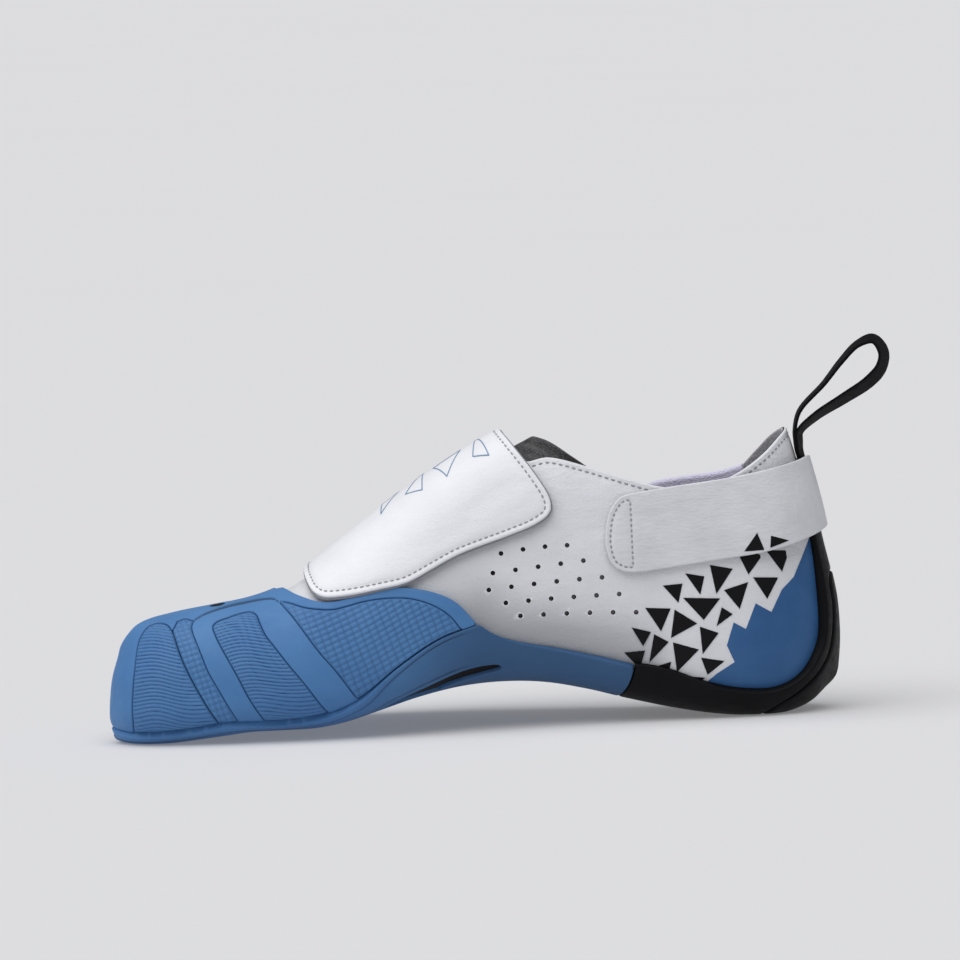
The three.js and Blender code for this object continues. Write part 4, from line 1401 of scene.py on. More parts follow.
def cap_panels() -> list[Panel]:
    """The cap's panels, from the toe back."""
    front = outline(side_line("panel_front"), side_line("strip_left")[1:])
    strip = outline(side_line("strip_left")[::-1], (0.101, 0.414), (0.112, 0.422), side_line("strip_right")[::-1])
    padded = outline(side_line("panel_side"), (0.45, 0.05), side_line("border")[::-1])
    return [
        Panel("toe_ribs_front", Region(front), Relief.RIBS, (6, 42), (5.5, 40.5), 64, 190, (17.4, 0.0)),
        Panel("toe_pads_strip", Region(strip), Relief.PADS, (22, 44), (6.5, 41.5), 66, 120, pitch=(1.9, 1.9)),
        Panel("toe_ribs_middle", Region(side_line("panel_middle")), Relief.RIBS, (36, 80), (7, 43.5), 88, 210,
              (47.4, 0.28), (2.4, 9.0)),
        Panel("side_pads", Region(padded), Relief.PADS, (58, 121), (12, 47), 200, 125,
              pitch=(2.5, 1.95), sides=(Side.MEDIAL,)),
    ]


@dataclass
class ToeCap:
    """Blue rubber cap over the toes, with ribbed and padded panels let into it, and painted shade in its grooves,
    along its rims and in the line round the arch.
    """

    finishes: Finishes
    reach: Pair = (0.0, 0.53)
    gap: float = 0.1
    rim: float = 0.4
    sole_gap: Pair = (0.1, 0.2)
    panel_drop: float = 0.22
    panel_floor: float = 0.8
    panel_rim: float = 0.35
    rib_height: float = 0.42
    # painted shade in the grooves of the ribs and of the pads, and along the panels' rims
    rib_shade: float = 0.85
    pad_shade: float = 0.62
    rim_shade: float = 0.6
    # painted shade along the cap's own rim, beside the panels and the sole
    shell_rim_shade: float = 0.2
    line_depth: float = 0.3
    line_reach: Pair = (0.16, 0.42)
    # painted shade in the line round the arch
    line_shade: float = 0.9
    slot_x: float = 38.6
    slot_y: float = 2.2
    slot_reach: Pair = (2.6, 3.4)
    panels: list[Panel] = field(default_factory=cap_panels)

    def seen(self, skin: Skin) -> Array:
        """Points of the cap's outer side."""
        return skin.raised(CLEARANCE + CAP_WALL)

    def panel_depth(self, panel: Panel, skin: Skin) -> Array:
        """Distance inside a panel's opening, which ends at the sole."""
        return np.minimum(panel.region.depth(self.seen(skin)), -SOLE_REGION.depth(skin.point) - self.sole_gap[1])

    def make_panels(self) -> None:
        """Makes each panel on its sides."""
        for panel in self.panels:
            for side in panel.sides:
                skin = Skin.patch(side, panel.x, panel.z, panel.columns, panel.rows)
                skin = skin.trim(self.panel_depth(panel, skin) - self.gap, (0.2, 0.5))
                fade = smoothstep(skin.depth, 0.2, 0.6)
                relief = panel.relief_at(skin) * fade
                top = CLEARANCE + CAP_WALL - self.panel_drop - rounded(skin.depth, self.panel_rim)
                # painted shade: darkens the grooves between ribs and between pads, and the rim along the panel's
                # edge
                strength = self.rib_shade if panel.relief is Relief.RIBS else self.pad_shade
                at_rim = 1 - smoothstep(skin.depth, 0.0, self.panel_rim)
                piece = skin.solid(
                    f"{panel.name}_{side.value}", top + self.rib_height * relief, CLEARANCE + self.panel_floor,
                    [self.finishes.blue_rubber],
                    shade=strength * (1 - relief) ** 1.5 * fade + self.rim_shade * at_rim,
                )
                settle(piece, "rubber_blue")

    def make_shell(self) -> None:
        """Makes the cap itself, with an opening for each panel, a line round the smooth arch, and painted shade in
        that line and along its rim.
        """
        skin = Skin.around(self.reach, 150, FINE_STEPS)
        region = Region(cap_outline("cap_medial"), cap_outline("cap_lateral"), CAP_SPLIT, 5.0)
        seen = self.seen(skin)
        depth = np.minimum(region.depth(seen), -SOLE_REGION.depth(skin.point) - self.sole_gap[0])
        for panel in self.panels:
            open_here = self.panel_depth(panel, skin)
            if len(panel.sides) == 1:
                open_here = np.where(skin.point[:, 1] < CAP_SPLIT, open_here, OUTSIDE)
            depth = np.minimum(depth, -open_here)
        skin.tag("line", line_distance(seen[:, [0, 2]], side_line("arch_top")))
        skin = skin.trim(depth, (0.1, 0.3, 0.6))
        for level in self.line_reach:
            skin = skin.split("line", level)
        cut = self.line_depth * (1 - smoothstep(skin.values["line"], *self.line_reach))
        outer = CLEARANCE + CAP_WALL - rounded(skin.depth, self.rim) - cut
        # painted shade: darkens the line round the arch and the rim beside the panels and the sole
        at_rim = 1 - smoothstep(skin.depth, 0.0, 0.3)
        shade = self.line_shade * cut / self.line_depth + self.shell_rim_shade * at_rim
        piece = skin.solid("toe_cap_shell", outer, CLEARANCE, [self.finishes.blue_rubber], shade=shade)
        settle(piece, "rubber_blue", "toe_cap")

    def make_slot(self) -> None:
        """Makes the small slot on top of the cap, as a thin dark sheet of painted shade."""
        skin = Skin.around((0.1, 0.2), 60, 320)
        x, y = skin.point[:, 0] - self.slot_x, skin.point[:, 1] - CAP_SPLIT + self.slot_y
        inside = 1 - np.sqrt((x / self.slot_reach[0]) ** 2 + (y / self.slot_reach[1]) ** 2)
        inside = np.where(skin.normal[:, 2] > 0.2, inside, OUTSIDE)
        skin = skin.trim(inside * self.slot_reach[0])
        # painted shade: a flat dark sheet where the slot is
        outer = np.full(len(skin.point), CLEARANCE + CAP_WALL + FILM)
        settle(skin.solid("cap_slot", outer, outer - 0.5, [self.finishes.hole]), "rubber_black")

    def make(self) -> None:
        """Makes the whole cap."""
        self.make_shell()
        self.make_panels()
        self.make_slot()


@dataclass
class Sole:
    """Blue rubber sole with its arch band, darkened by painted shade, and the black insert in its slot."""

    finishes: Finishes
    rim: float = 0.55
    toe_rim: float = 0.35
    line_inset: float = 1.3
    line_width: float = 0.22
    line_depth: float = 0.3
    # painted shade in the line under the edge
    line_shade: float = 0.5
    line_end: Pair = (112.0, 126.0)
    edge_swell: float = 0.35
    # painted shade that darkens the arch, rising between these places along the shoe
    arch_shade: float = 0.72
    arch_reach: Pair = (70.0, 130.0)

    def outer(self, skin: Skin) -> Array:
        """Distance of the sole's outer side from the form, which grows underneath."""
        return CLEARANCE + (SOLE_SIDE + (SOLE_BOTTOM - SOLE_SIDE) * underneath(skin.normal))

    def slot_depth(self, skin: Skin) -> Array:
        """Distance inside the slot on the medial side, on the sole's outer side."""
        point = skin.raised(self.outer(skin))
        return np.minimum(SLOT_REGION.depth(point), SLOT_END - point[:, 1])

    def make_sole(self) -> None:
        """Makes the sole, with a line under its edge in front, painted shade in that line and painted shade that
        darkens the arch.
        """
        skin = Skin.around((0.0, 0.74), 190, FINE_STEPS)
        depth = np.minimum(SOLE_REGION.depth(skin.point), -self.slot_depth(skin))
        skin = skin.trim(depth, (0.12, 0.35, 0.8, 1.05, 1.3, 1.55))
        depth, x, down = skin.depth, skin.point[:, 0], -skin.normal[:, 2]
        front = 1 - smoothstep(x, *self.line_end)
        line = groove(depth - self.line_inset, self.line_width, self.line_depth) * front
        rim = self.toe_rim + (self.rim - self.toe_rim) * (1 - front)
        outer = self.outer(skin) - rounded(depth, rim) - line
        edge = smoothstep(down, 0.05, 0.45) * (1 - smoothstep(down, 0.45, 0.95))
        outer = outer + self.edge_swell * edge * smoothstep(depth, 1.0, 5.0)
        # painted shade: darkens the line's groove and, rising towards the heel, the arch
        shade = np.minimum(line / self.line_depth, 1.0) * self.line_shade
        shade = shade + self.arch_shade * smoothstep(x, *self.arch_reach)
        piece = skin.solid("sole", outer, CLEARANCE, [self.finishes.blue_rubber], floor=0.0, shade=shade)
        settle(piece, "rubber_blue", "outsole")

    def make_insert(self) -> None:
        """Makes the black insert in the slot."""
        skin = Skin.around((0.3, 0.58), 150, FINE_STEPS)
        skin = skin.trim(self.slot_depth(skin) - CLEARANCE)
        outer = self.outer(skin) - INLAY_DEPTH
        piece = skin.solid("arch_insert", outer, CLEARANCE, [self.finishes.black_rubber])
        settle(piece, "rubber_black", "arch_inlay")

    def make(self) -> None:
        """Makes the sole and its insert."""
        self.make_sole()
        self.make_insert()


@dataclass
class HeelRubber:
    """Black rubber that wraps the heel: the rand round its edge and the bumper low at its back."""

    finishes: Finishes
    rim: float = 0.7
    bumper_swell: float = 0.25

    def outer(self, skin: Skin) -> Array:
        """Distance of the rubber's outer side from the form."""
        back = smoothstep(skin.normal[:, 0], 0.2, 0.9)
        low = 1 - smoothstep(skin.point[:, 2] / HEEL_HEIGHT, 0.36, 0.62)
        side = RAND_WALL + (HEEL_BACK - RAND_WALL) * back * low
        return CLEARANCE + side + (SOLE_BOTTOM - side) * underneath(skin.normal)

    def wrap(self, name: str, node: str, skin: Skin, depth: Array, swell: float = 0.0) -> None:
        """Makes one of the two pieces.

        Args:
            name: the piece's name.
            node: the solid that it stands for.
            skin: the surface that it is cut from.
            depth: distance inside its outline at each of the surface's points.
            swell: how much thicker it is than the rubber round the edge.
        """
        skin = skin.trim(depth, RIM_LEVELS)
        outer = self.outer(skin) + swell - rounded(skin.depth, self.rim)
        settle(skin.solid(name, outer, CLEARANCE, [self.finishes.black_rubber], floor=0.0), "rubber_black", node)

    def make(self) -> None:
        """Makes both pieces."""
        skin = Skin.around((0.6, 1.0), 154, FINE_STEPS)
        seen = skin.raised(self.outer(skin))
        around = np.minimum(-SOLE_REGION.depth(skin.point), -BUMPER_REGION.depth(seen)) - CLEARANCE
        self.wrap("rand", "heel_rand", skin, np.minimum(RAND_REGION.depth(seen), around))

        skin = Skin.around((0.8, 1.0), 120, FINE_STEPS)
        depth = BUMPER_REGION.depth(skin.raised(self.outer(skin)))
        self.wrap("bumper", "heel_bumper", skin, depth, self.bumper_swell)


@dataclass
class PinholeRow:
    """Row of pinholes in the side, from its first hole back."""

    x: float
    z: float
    step: float
    rise: float
    count: int
    sag: float = 0.0

    def places(self) -> list[Pair]:
        """Side-view place of each hole in millimetres."""
        return [
            (self.x + i * self.step, self.z + i * self.rise + self.sag * math.sin(math.pi * i / (self.count - 1)))
            for i in range(self.count)
        ]


@dataclass
class Upper:
    """Hollow white leather upper, with its collar seam and pinholes."""

    finishes: Finishes
    rim: float = 0.7
    stitch_inset: float = 1.9
    stitch_lift: float = 0.05
    # painted shade: how high above the sole the leather is greyed, and where along the shoe that fades out
    painted_shade_height: float = 22.0
    painted_shade_end: Pair = (176.0, 200.0)
    hole_radius: float = 0.6
    hole_flare: float = 2.0
    pin_length: float = 8.0
    pin_lift: float = 1.2
    rows: tuple[PinholeRow, ...] = (
        PinholeRow(134.0, 59.2, 7.4, 0.55, 4, 0.5),
        PinholeRow(131.0, 52.9, 7.6, 0.65, 5),
        PinholeRow(129.4, 47.4, 7.6, 0.45, 6, 0.3),
        PinholeRow(134.9, 42.8, 7.6, 0.2, 6, 0.2),
        PinholeRow(139.6, 38.2, 7.75, -0.15, 6, 0.3),
    )
    creases: tuple[Trough, ...] = (
        Trough(160.0, 64.0, 0.35, 2.2, 0.45, (150, 158), (166, 176)),
        Trough(160.0, 70.0, 0.3, 1.8, 0.35, (152, 158), (162, 170)),
        Trough(150.0, 31.0, -0.12, 4.0, 0.5, (130, 150), (170, 190)),
        Trough(172.0, 45.0, -0.9, 1.3, 0.3, (164, 170), (178, 186)),
    )

    def collar(self) -> Region:
        """Region under the collar's edge."""
        over = ((0.545, 1.6), (0.2, 1.6), (-0.1, 1.6), (-0.1, -0.2), (1.12, -0.2), (1.12, 1.041))
        medial = outline(*over, side_line("collar_medial")[::-1])
        lateral = outline(*over, side_line("collar_lateral")[::-1])
        return Region(medial, lateral, 0.0, 4.0)

    def throat(self, point: Array) -> Array:
        """Distance inside the throat's opening, in plan view."""
        front, back = THROAT_REACH[0] * SHOE_LENGTH, THROAT_REACH[1] * SHOE_LENGTH
        share = (point[:, 0] - front) / (back - front)
        centre = FORM.section((point[:, 0] - FORM_FRONT) / FORM_LENGTH)["ridge"]
        half = (THROAT_FRONT_WIDTH + (THROAT_BACK_WIDTH - THROAT_FRONT_WIDTH) * share) / 2
        inside = np.minimum(half - np.abs(point[:, 1] - centre), np.minimum(point[:, 0] - front, back - point[:, 0]))
        return np.where(point[:, 2] > 0.45 * INSTEP_HEIGHT, inside, OUTSIDE)

    def under(self, skin: Skin) -> Array:
        """Distance inside the opening underneath, which the sole closes."""
        at, y = skin.at, skin.point[:, 1]
        s = FORM.section(at)
        across = np.minimum(y - s["medial"], s["lateral"] - y) - LASTING_MARGIN
        along = np.minimum(at - LASTING_REACH[0], LASTING_REACH[1] - at) * FORM_LENGTH
        return np.where(skin.point[:, 2] < s["waist"], np.minimum(across, along), OUTSIDE)

    def outer(self, skin: Skin) -> Array:
        """Distance of the leather's outer side from the form, with its rim, its creases and the seam's groove."""
        creased = sum(crease.at(skin.point[:, 0], skin.point[:, 2]) for crease in self.creases)
        made = -rounded(skin.depth, self.rim) - creased * skin.normal[:, 1] ** 2
        return made - groove(skin.values["collar"] - self.stitch_inset, 0.6, 0.22)

    def make(self) -> None:
        """Makes the upper and its collar seam."""
        skin = Skin.around((0.0, 1.0), 190, SOFT_STEPS)
        skin.tag("collar", self.collar().depth(skin.point))
        depth = np.minimum(skin.values["collar"], -self.throat(skin.point))
        depth = np.minimum(depth, -self.under(skin))
        skin = skin.trim(depth, (0.15, 0.4, 0.8)).split("collar", self.stitch_inset)
        outer = self.outer(skin)
        inner = -UPPER_WALL + rounded(skin.depth, self.rim)
        f = self.finishes
        # painted shade: greys the leather low down near the sole, fading out towards the heel
        above = -SOLE_REGION.depth(skin.point)
        shade = (1 - smoothstep(above, 0.0, self.painted_shade_height)) * (1 - smoothstep(skin.point[:, 0], *self.painted_shade_end))
        shell = skin.solid("upper_shell", outer, inner, [f.leather, f.lining, f.leather], shade=shade)
        self.pierce(shell)
        settle(shell, "upper_white", "upper")

        stitched = (skin.point[:, 0] > 0.575 * SHOE_LENGTH) & (skin.depth > 1.2)
        chains = skin.seam("collar", self.stitch_inset, outer + self.stitch_lift, 12, stitched)
        settle(Seam(f, pitch=2.3, length=1.5, width=0.78).lay("collar_stitches", chains), "webbing_black")

    def pierce(self, shell: Piece) -> None:
        """Cuts the pinholes through the side with small flared pins."""
        x, z = np.array([place for row in self.rows for place in row.places()]).T
        point, normal = FORM.on_side(x, z, Side.MEDIAL, 0.0)
        length = self.pin_length * MM
        lift = Matrix.Translation((0, 0, self.pin_lift * MM))
        pins = []
        for centre, out in zip(to_frame(point), normal):
            bpy.ops.object.select_all(action="DESELECT")
            bpy.ops.mesh.primitive_cylinder_add(vertices=14, radius=self.hole_radius * MM, depth=length)
            pin = bpy.context.object
            bpy.ops.object.mode_set(mode="EDIT")
            bpy.ops.mesh.select_all(action="DESELECT")
            bpy.ops.object.mode_set(mode="OBJECT")
            for v in pin.data.vertices:
                v.select = v.co.z > 0
            bpy.ops.object.mode_set(mode="EDIT")
            bpy.ops.transform.resize(
                value=(self.hole_flare, self.hole_flare, 1.0), center_override=(0, 0, length / 2)
            )
            bpy.ops.object.mode_set(mode="OBJECT")
            turn = Vector(out).to_track_quat("Z", "Y").to_matrix().to_4x4()
            pin.data.transform(Matrix.Translation(Vector(centre)) @ turn @ lift)
            pins.append(pin)
        bpy.ops.object.select_all(action="DESELECT")
        for pin in pins:
            pin.select_set(True)
        bpy.context.view_layer.objects.active = pins[0]
        bpy.ops.object.join()
        cutter = bpy.context.object
        # painted shade: the pins' faces give the pinholes' walls the dark hole finish
        cutter.data.materials.append(self.finishes.hole)
        pick(shell)
        cut = shell.modifiers.new("pinholes", "BOOLEAN")
        cut.operation = "DIFFERENCE"
        cut.solver = "EXACT"
        cut.material_mode = "TRANSFER"
        cut.object = cutter
        bpy.ops.object.modifier_apply(modifier=cut.name)
        bpy.data.objects.remove(cutter)
        smooth(shell, SHARP_ANGLE)


@dataclass
class HeelPrint:
    """Printed heel: a blue field with a ragged front edge, and loose black shards along it."""

    finishes: Finishes
    field_lift: float = 0.06
    shard_lift: float = 0.1
    field_back: Line = ((196.0, 4.0), (262.0, 4.0), (262.0, 66.0), (241.5, 66.0))
    field_edge: Line = (
        (238.4, 60.0), (231.6, 46.4), (227.4, 42.6), (223.6, 35.4), (218.4, 38.6), (214.8, 30.2),
        (210.8, 32.6), (208.2, 25.0), (210.6, 19.2), (204.4, 15.4), (199.0, 11.0),
    )
    shards: tuple[Line, ...] = (
        ((212.4, 57.4), (221.4, 54.6), (216.4, 48.4)),
        ((222.6, 56.2), (230.6, 55.4), (227.8, 48.6)),
        ((217.9, 47.4), (226.4, 46.8), (222.4, 39.9)),
        ((203.6, 52.2), (211.2, 50.6), (205.4, 42.4)),
        ((208.0, 43.6), (216.2, 45.9), (213.0, 37.0)),
        ((195.2, 49.8), (201.6, 48.5), (200.0, 42.4)),
        ((187.6, 46.0), (194.2, 46.4), (192.6, 40.0)),
        ((194.2, 41.6), (206.6, 40.9), (200.8, 33.9)),
        ((207.0, 37.9), (210.6, 35.4), (205.0, 31.6)),
        ((181.4, 38.8), (189.9, 38.2), (186.4, 30.7)),
        ((191.2, 37.8), (198.6, 32.8), (189.6, 28.3)),
        ((199.4, 31.7), (205.6, 29.3), (200.0, 22.4)),
        ((176.6, 32.4), (183.0, 30.6), (180.2, 25.9)),
        ((184.0, 29.8), (188.8, 27.0), (182.0, 20.2)),
        ((190.2, 26.8), (198.8, 24.0), (191.2, 16.6)),
        ((173.8, 24.0), (180.8, 24.4), (178.8, 18.2)),
        ((182.8, 18.4), (189.4, 20.2), (187.6, 13.6)),
        ((199.4, 21.2), (207.2, 19.7), (201.4, 15.2)),
        ((191.4, 15.2), (200.6, 14.2), (196.0, 10.6)),
    )
    strap_shards: tuple[Line, ...] = (
        ((219.8, 62.4), (215.2, 56.4), (222.0, 56.6)),
        ((224.4, 61.2), (230.4, 59.2), (224.0, 57.2)),
    )

    def make_field(self, side: Side) -> None:
        """Prints the blue field on one side."""
        edge = np.array(self.field_edge)
        region = Region(np.concatenate([edge, self.field_back]))
        skin = Skin.around((0.78, 1.0), 110, FINE_STEPS)
        for start, end in zip(edge[:-1], edge[1:]):
            step = (end - start) / np.linalg.norm(end - start)
            away = (skin.point[:, 2] - start[1]) * step[0] - (skin.point[:, 0] - start[0]) * step[1]
            skin = skin.tag("edge", away).split("edge")
        here = skin.point[:, 1] if side is Side.LATERAL else -skin.point[:, 1]
        depth = np.minimum(region.depth(skin.point), here + 0.05)
        skin = skin.trim(np.minimum(depth, -RAND_REGION.depth(skin.point) + 1.0))
        outer = np.full(len(skin.point), self.field_lift + FILM)
        piece = skin.solid(f"heel_field_{side.value}", outer, outer - FILM, [self.finishes.blue_print])
        settle(piece, "rubber_blue")

    def shard_skin(
        self, side: Side, shards: Sequence[Sequence[Pair]], lift: Callable[[Skin], Array | float]
    ) -> Skin:
        """Skin of sharp-cornered shards on one side.

        Args:
            side: the side of the shoe.
            shards: each one's side-view corners in millimetres.
            lift: gives the distance from the form of the surface that they lie on.

        Returns:
            The skin of all of them.
        """
        made = []
        for shard in shards:
            corners = np.array(shard)
            low, high = corners.min(axis=0) - 0.8, corners.max(axis=0) + 0.8
            skin = Skin.patch(side, (low[0], high[0]), (low[1], high[1]), 12, 12)
            made.append(skin.straight(corners, skin.raised(lift(skin))[:, [0, 2]]))
        return Skin.joined(made)

    def make_shards(self, side: Side) -> None:
        """Prints the shards on one side."""
        skin = self.shard_skin(side, self.shards, lambda _: self.shard_lift + FILM)
        skin = skin.trim(np.minimum(-RAND_REGION.depth(skin.point), -SOLE_REGION.depth(skin.point)) + 0.5)
        outer = np.full(len(skin.point), self.shard_lift + FILM)
        piece = skin.solid(f"shards_{side.value}", outer, outer - FILM, [self.finishes.black_print])
        settle(piece, "rubber_black")

    def make(self) -> None:
        """Prints both sides."""
        for side in Side:
            self.make_field(side)
            self.make_shards(side)


@dataclass
class Inside:
    """What lies inside the upper: tongue, insole and the soft pad of the collar."""

    finishes: Finishes
    tongue_rim: float = 0.75
    folds: tuple[Trough, ...] = (Trough(142.0, 97.6, -0.5, 1.3, 1.5), Trough(142.0, 93.6, -0.35, 1.1, 1.0))
    fold_depth: float = 1.4
    pad_swell: float = 0.5
    footbed_hollow: float = 0.5
    footbed_end: float = 0.12

    def make_tongue(self) -> None:
        """Makes the knitted tongue with its folds."""
        rows = [
            outline(side_line(name), side_line("tongue_low"), (0.32, 1.5))
            for name in ("tongue_medial", "tongue_lateral")
        ]
        region = Region(rows[0], rows[1], 0.0, 5.0)
        skin = Skin.around((0.28, 0.74), 150, SOFT_STEPS)
        skin = skin.trim(region.depth(skin.raised(LINING)), (0.15, 0.4, 0.75))
        depth = skin.depth
        folds = sum(fold.at(skin.point[:, 0], skin.point[:, 2]) for fold in self.folds)
        folds = np.minimum(folds, self.fold_depth) * smoothstep(np.abs(skin.normal[:, 1]), 0.08, 0.3)
        outer = LINING - rounded(depth, self.tongue_rim) - folds * smoothstep(depth, 0.3, 1.2)
        inner = np.minimum(LINING - TONGUE_WALL + rounded(depth, 0.6), outer - 0.2)
        settle(skin.solid("tongue_knit", outer, inner, [self.finishes.knit]), "knit_grey", "tongue")

    def make_pad(self) -> None:
        """Makes the plush pad inside the lateral collar."""
        skin = Skin.patch(Side.LATERAL, (178, 224), (56, 88), 90, 64)
        skin = skin.trim(Region(side_line("pad")).depth(skin.raised(LINING)), (0.3, 0.8, 1.6))
        depth = skin.depth
        swell = self.pad_swell * smoothstep(depth, 0.5, 6.0)
        outer = LINING - rounded(depth, 0.3)
        inner = np.minimum(LINING - PAD_WALL - swell + rounded(depth, 1.4), outer - 0.15)
        piece = settle(skin.solid("collar_plush", outer, inner, [self.finishes.lilac]), "lining_lilac", "collar_pad")

    def make_insole(self) -> None:
        """Makes the insole, which fills the bottom of the inside up to a soft footbed."""
        stations, across = 120, 40
        angles = np.linspace(self.footbed_end, math.pi - self.footbed_end, stations + 1)
        turns = np.linspace(-0.24, 0.24, 241)
        top = np.empty((stations + 1, across + 1, 3))
        bottom = np.empty_like(top)
        for i, angle in enumerate(angles):
            ring_angle = np.full(len(turns), angle)
            ring = FORM.point(ring_angle, turns) + FORM.normal(ring_angle, turns) * LINING
            at = (1 - math.cos(angle)) / 2
            level = float(FORM.section(at)["base"]) - LINING + INSOLE_WALL
            low = int(np.argmin(ring[:, 2]))
            left = np.interp(level, ring[low::-1, 2], turns[low::-1])
            right = np.interp(level, ring[low:, 2], turns[low:])
            pick_turn = np.linspace(left, right, across + 1)
            bottom[i] = rows_at(pick_turn, turns, ring)
            share = np.linspace(-1, 1, across + 1)
            top[i] = bottom[i]
            top[i][:, 2] = level - self.footbed_hollow * (1 - share**2)
            top[i][[0, -1]] = bottom[i][[0, -1]]
        count = (stations + 1) * (across + 1)
        faces: list[Face] = []
        for a, d, c, b in quads(np.arange(count).reshape(stations + 1, across + 1)):
            faces += [(a, b, c, d), (d + count, c + count, b + count, a + count)]
        edges = {(a, b) for f in faces for a, b in zip(f, f[1:] + f[:1])}
        open_top = [(a, b) for a, b in edges if (b, a) not in edges and a < count]
        faces += [(b, a, a + count, b + count) for a, b in open_top]
        points = np.concatenate([top.reshape(-1, 3), bottom.reshape(-1, 3)])
        piece = make_piece("footbed", points, faces, [self.finishes.board])
        settle(piece, "insole_board", "insole")

    def make(self) -> None:
        """Makes the three pieces."""
        self.make_tongue()
        self.make_pad()
        self.make_insole()


@dataclass
class InstepStrap:
    """Wide white strap over the instep, stitched all round, with fine lines printed on its crest."""

    finishes: Finishes
    stitch_inset: float = 1.9
    backing_reach: float = 0.45
    backing_width: float = 1.1
    backing_wall: float = 0.75
    mark_width: float = 0.16
    mark_inset: float = 0.2
    waves: tuple[Trough, ...] = (
        Trough(128.0, 74.0, 0.55, 3.2, 0.3, (118, 130), (140, 148)),
        Trough(110.0, 62.0, 0.5, 5.0, 0.25, (96, 110), (122, 134)),
    )
    marks: tuple[Line, ...] = (
        ((96.5, -7.5), (104.0, 1.0), (98.0, 6.0)),
        ((105.0, -6.0), (110.8, -9.0), (112.5, 3.5)),
        ((115.0, -1.5), (118.8, -9.5), (125.0, -0.5)),
        ((127.5, -7.5), (133.0, -9.5), (130.0, 3.0)),
    )

    def region(self) -> Region:
        """The strap's outline on both sides."""
        over = ((0.544, 1.6), (0.271, 1.6))
        return Region(
            outline(side_line("strap_medial"), *over), outline(side_line("strap_lateral"), *over), STRAP_SPLIT, 8.0
        )

    def seat(self, skin: Skin) -> Array:
        """Distance of the strap's underside from the form."""
        lift = smoothstep(skin.at, 0.12, 0.5) * smoothstep(skin.normal[:, 2], 0.0, 0.75)
        return CLEARANCE + STRAP_SEAT + STRAP_LIFT * lift

    def outer(self, skin: Skin) -> Array:
        """Distance of the strap's outer side from the form, with its rim, seam groove and soft waves."""
        depth = skin.depth
        wave = sum(wave.at(skin.point[:, 0], skin.point[:, 2]) for wave in self.waves)
        made = self.seat(skin) + STRAP_WALL - rounded(depth, 0.5)
        return made - groove(depth - self.stitch_inset, 0.75, 0.34) - wave * smoothstep(depth, 2.5, 6.0)

    def make(self) -> None:
        """Makes the strap, its stitches and its printed lines."""
        f = self.finishes
        skin = Skin.around((0.22, 0.66), 150, FINE_STEPS)
        depth = self.region().depth(skin.raised(self.seat(skin) + STRAP_WALL))
        self.make_backing(skin, depth)
        skin = skin.trim(depth, (0.12, 0.35, 0.7, 1.2, self.stitch_inset, 2.6))
        outer = self.outer(skin)
        settle(skin.solid("strap", outer, self.seat(skin), [f.strap, f.edge]), "strap_white", "instep_strap")
        chains = skin.seam("depth", self.stitch_inset, outer + STITCH_LIFT, 20)
        settle(Seam(f).lay("strap_stitches", chains), "webbing_black")
        self.make_marks()

    def make_backing(self, skin: Skin, depth: Array) -> None:
        """Makes the rim of the strap's lower layer, which shows along its edge; its grey is the layer's own,
        darkened further by painted shade.

        Args:
            skin: the surface that the strap lies over.
            depth: distance inside the strap's outline at each of its points.
        """
        rim = skin.trim(depth + self.backing_reach, (0.12, 0.3))
        rim = rim.tag("deep", self.backing_width - rim.depth).split("deep", drop=True)
        inner = self.seat(rim) + 0.05
        outer = inner + self.backing_wall - rounded(rim.depth, 0.3)
        # painted shade: the rim's dark grey is partly the layer's own colour, partly the shade under the strap's
        # edge
        settle(rim.solid("strap_backing_and_painted_shade", outer, inner, [self.finishes.backing_and_painted_shade]), "strap_white")

    def make_marks(self) -> None:
        """Prints the thin outlined triangles on the crest."""
        skin = Skin.around((0.36, 0.57), 280, 600)
        skin.tag("depth", np.full(len(skin.point), -OUTSIDE))
        plan = np.stack([skin.point[:, 0], skin.point[:, 1] - FORM.section(skin.at)["ridge"]], axis=1)
        line = np.full(len(plan), OUTSIDE)
        for mark in self.marks:
            from_line = np.abs(depth_in(plan, np.array(mark)) - self.mark_inset)
            line = np.maximum(line, self.mark_width - from_line)
        line = np.where(skin.normal[:, 2] > 0.1, line, OUTSIDE)
        skin = skin.tag("line", line).tag("flat", self.outer(skin)).split("line", drop=True)
        outer = skin.values["flat"] + PRINT_LIFT + FILM
        piece = skin.solid("strap_lines", outer, outer - FILM, [self.finishes.line_print])
        settle(piece, "rubber_blue")


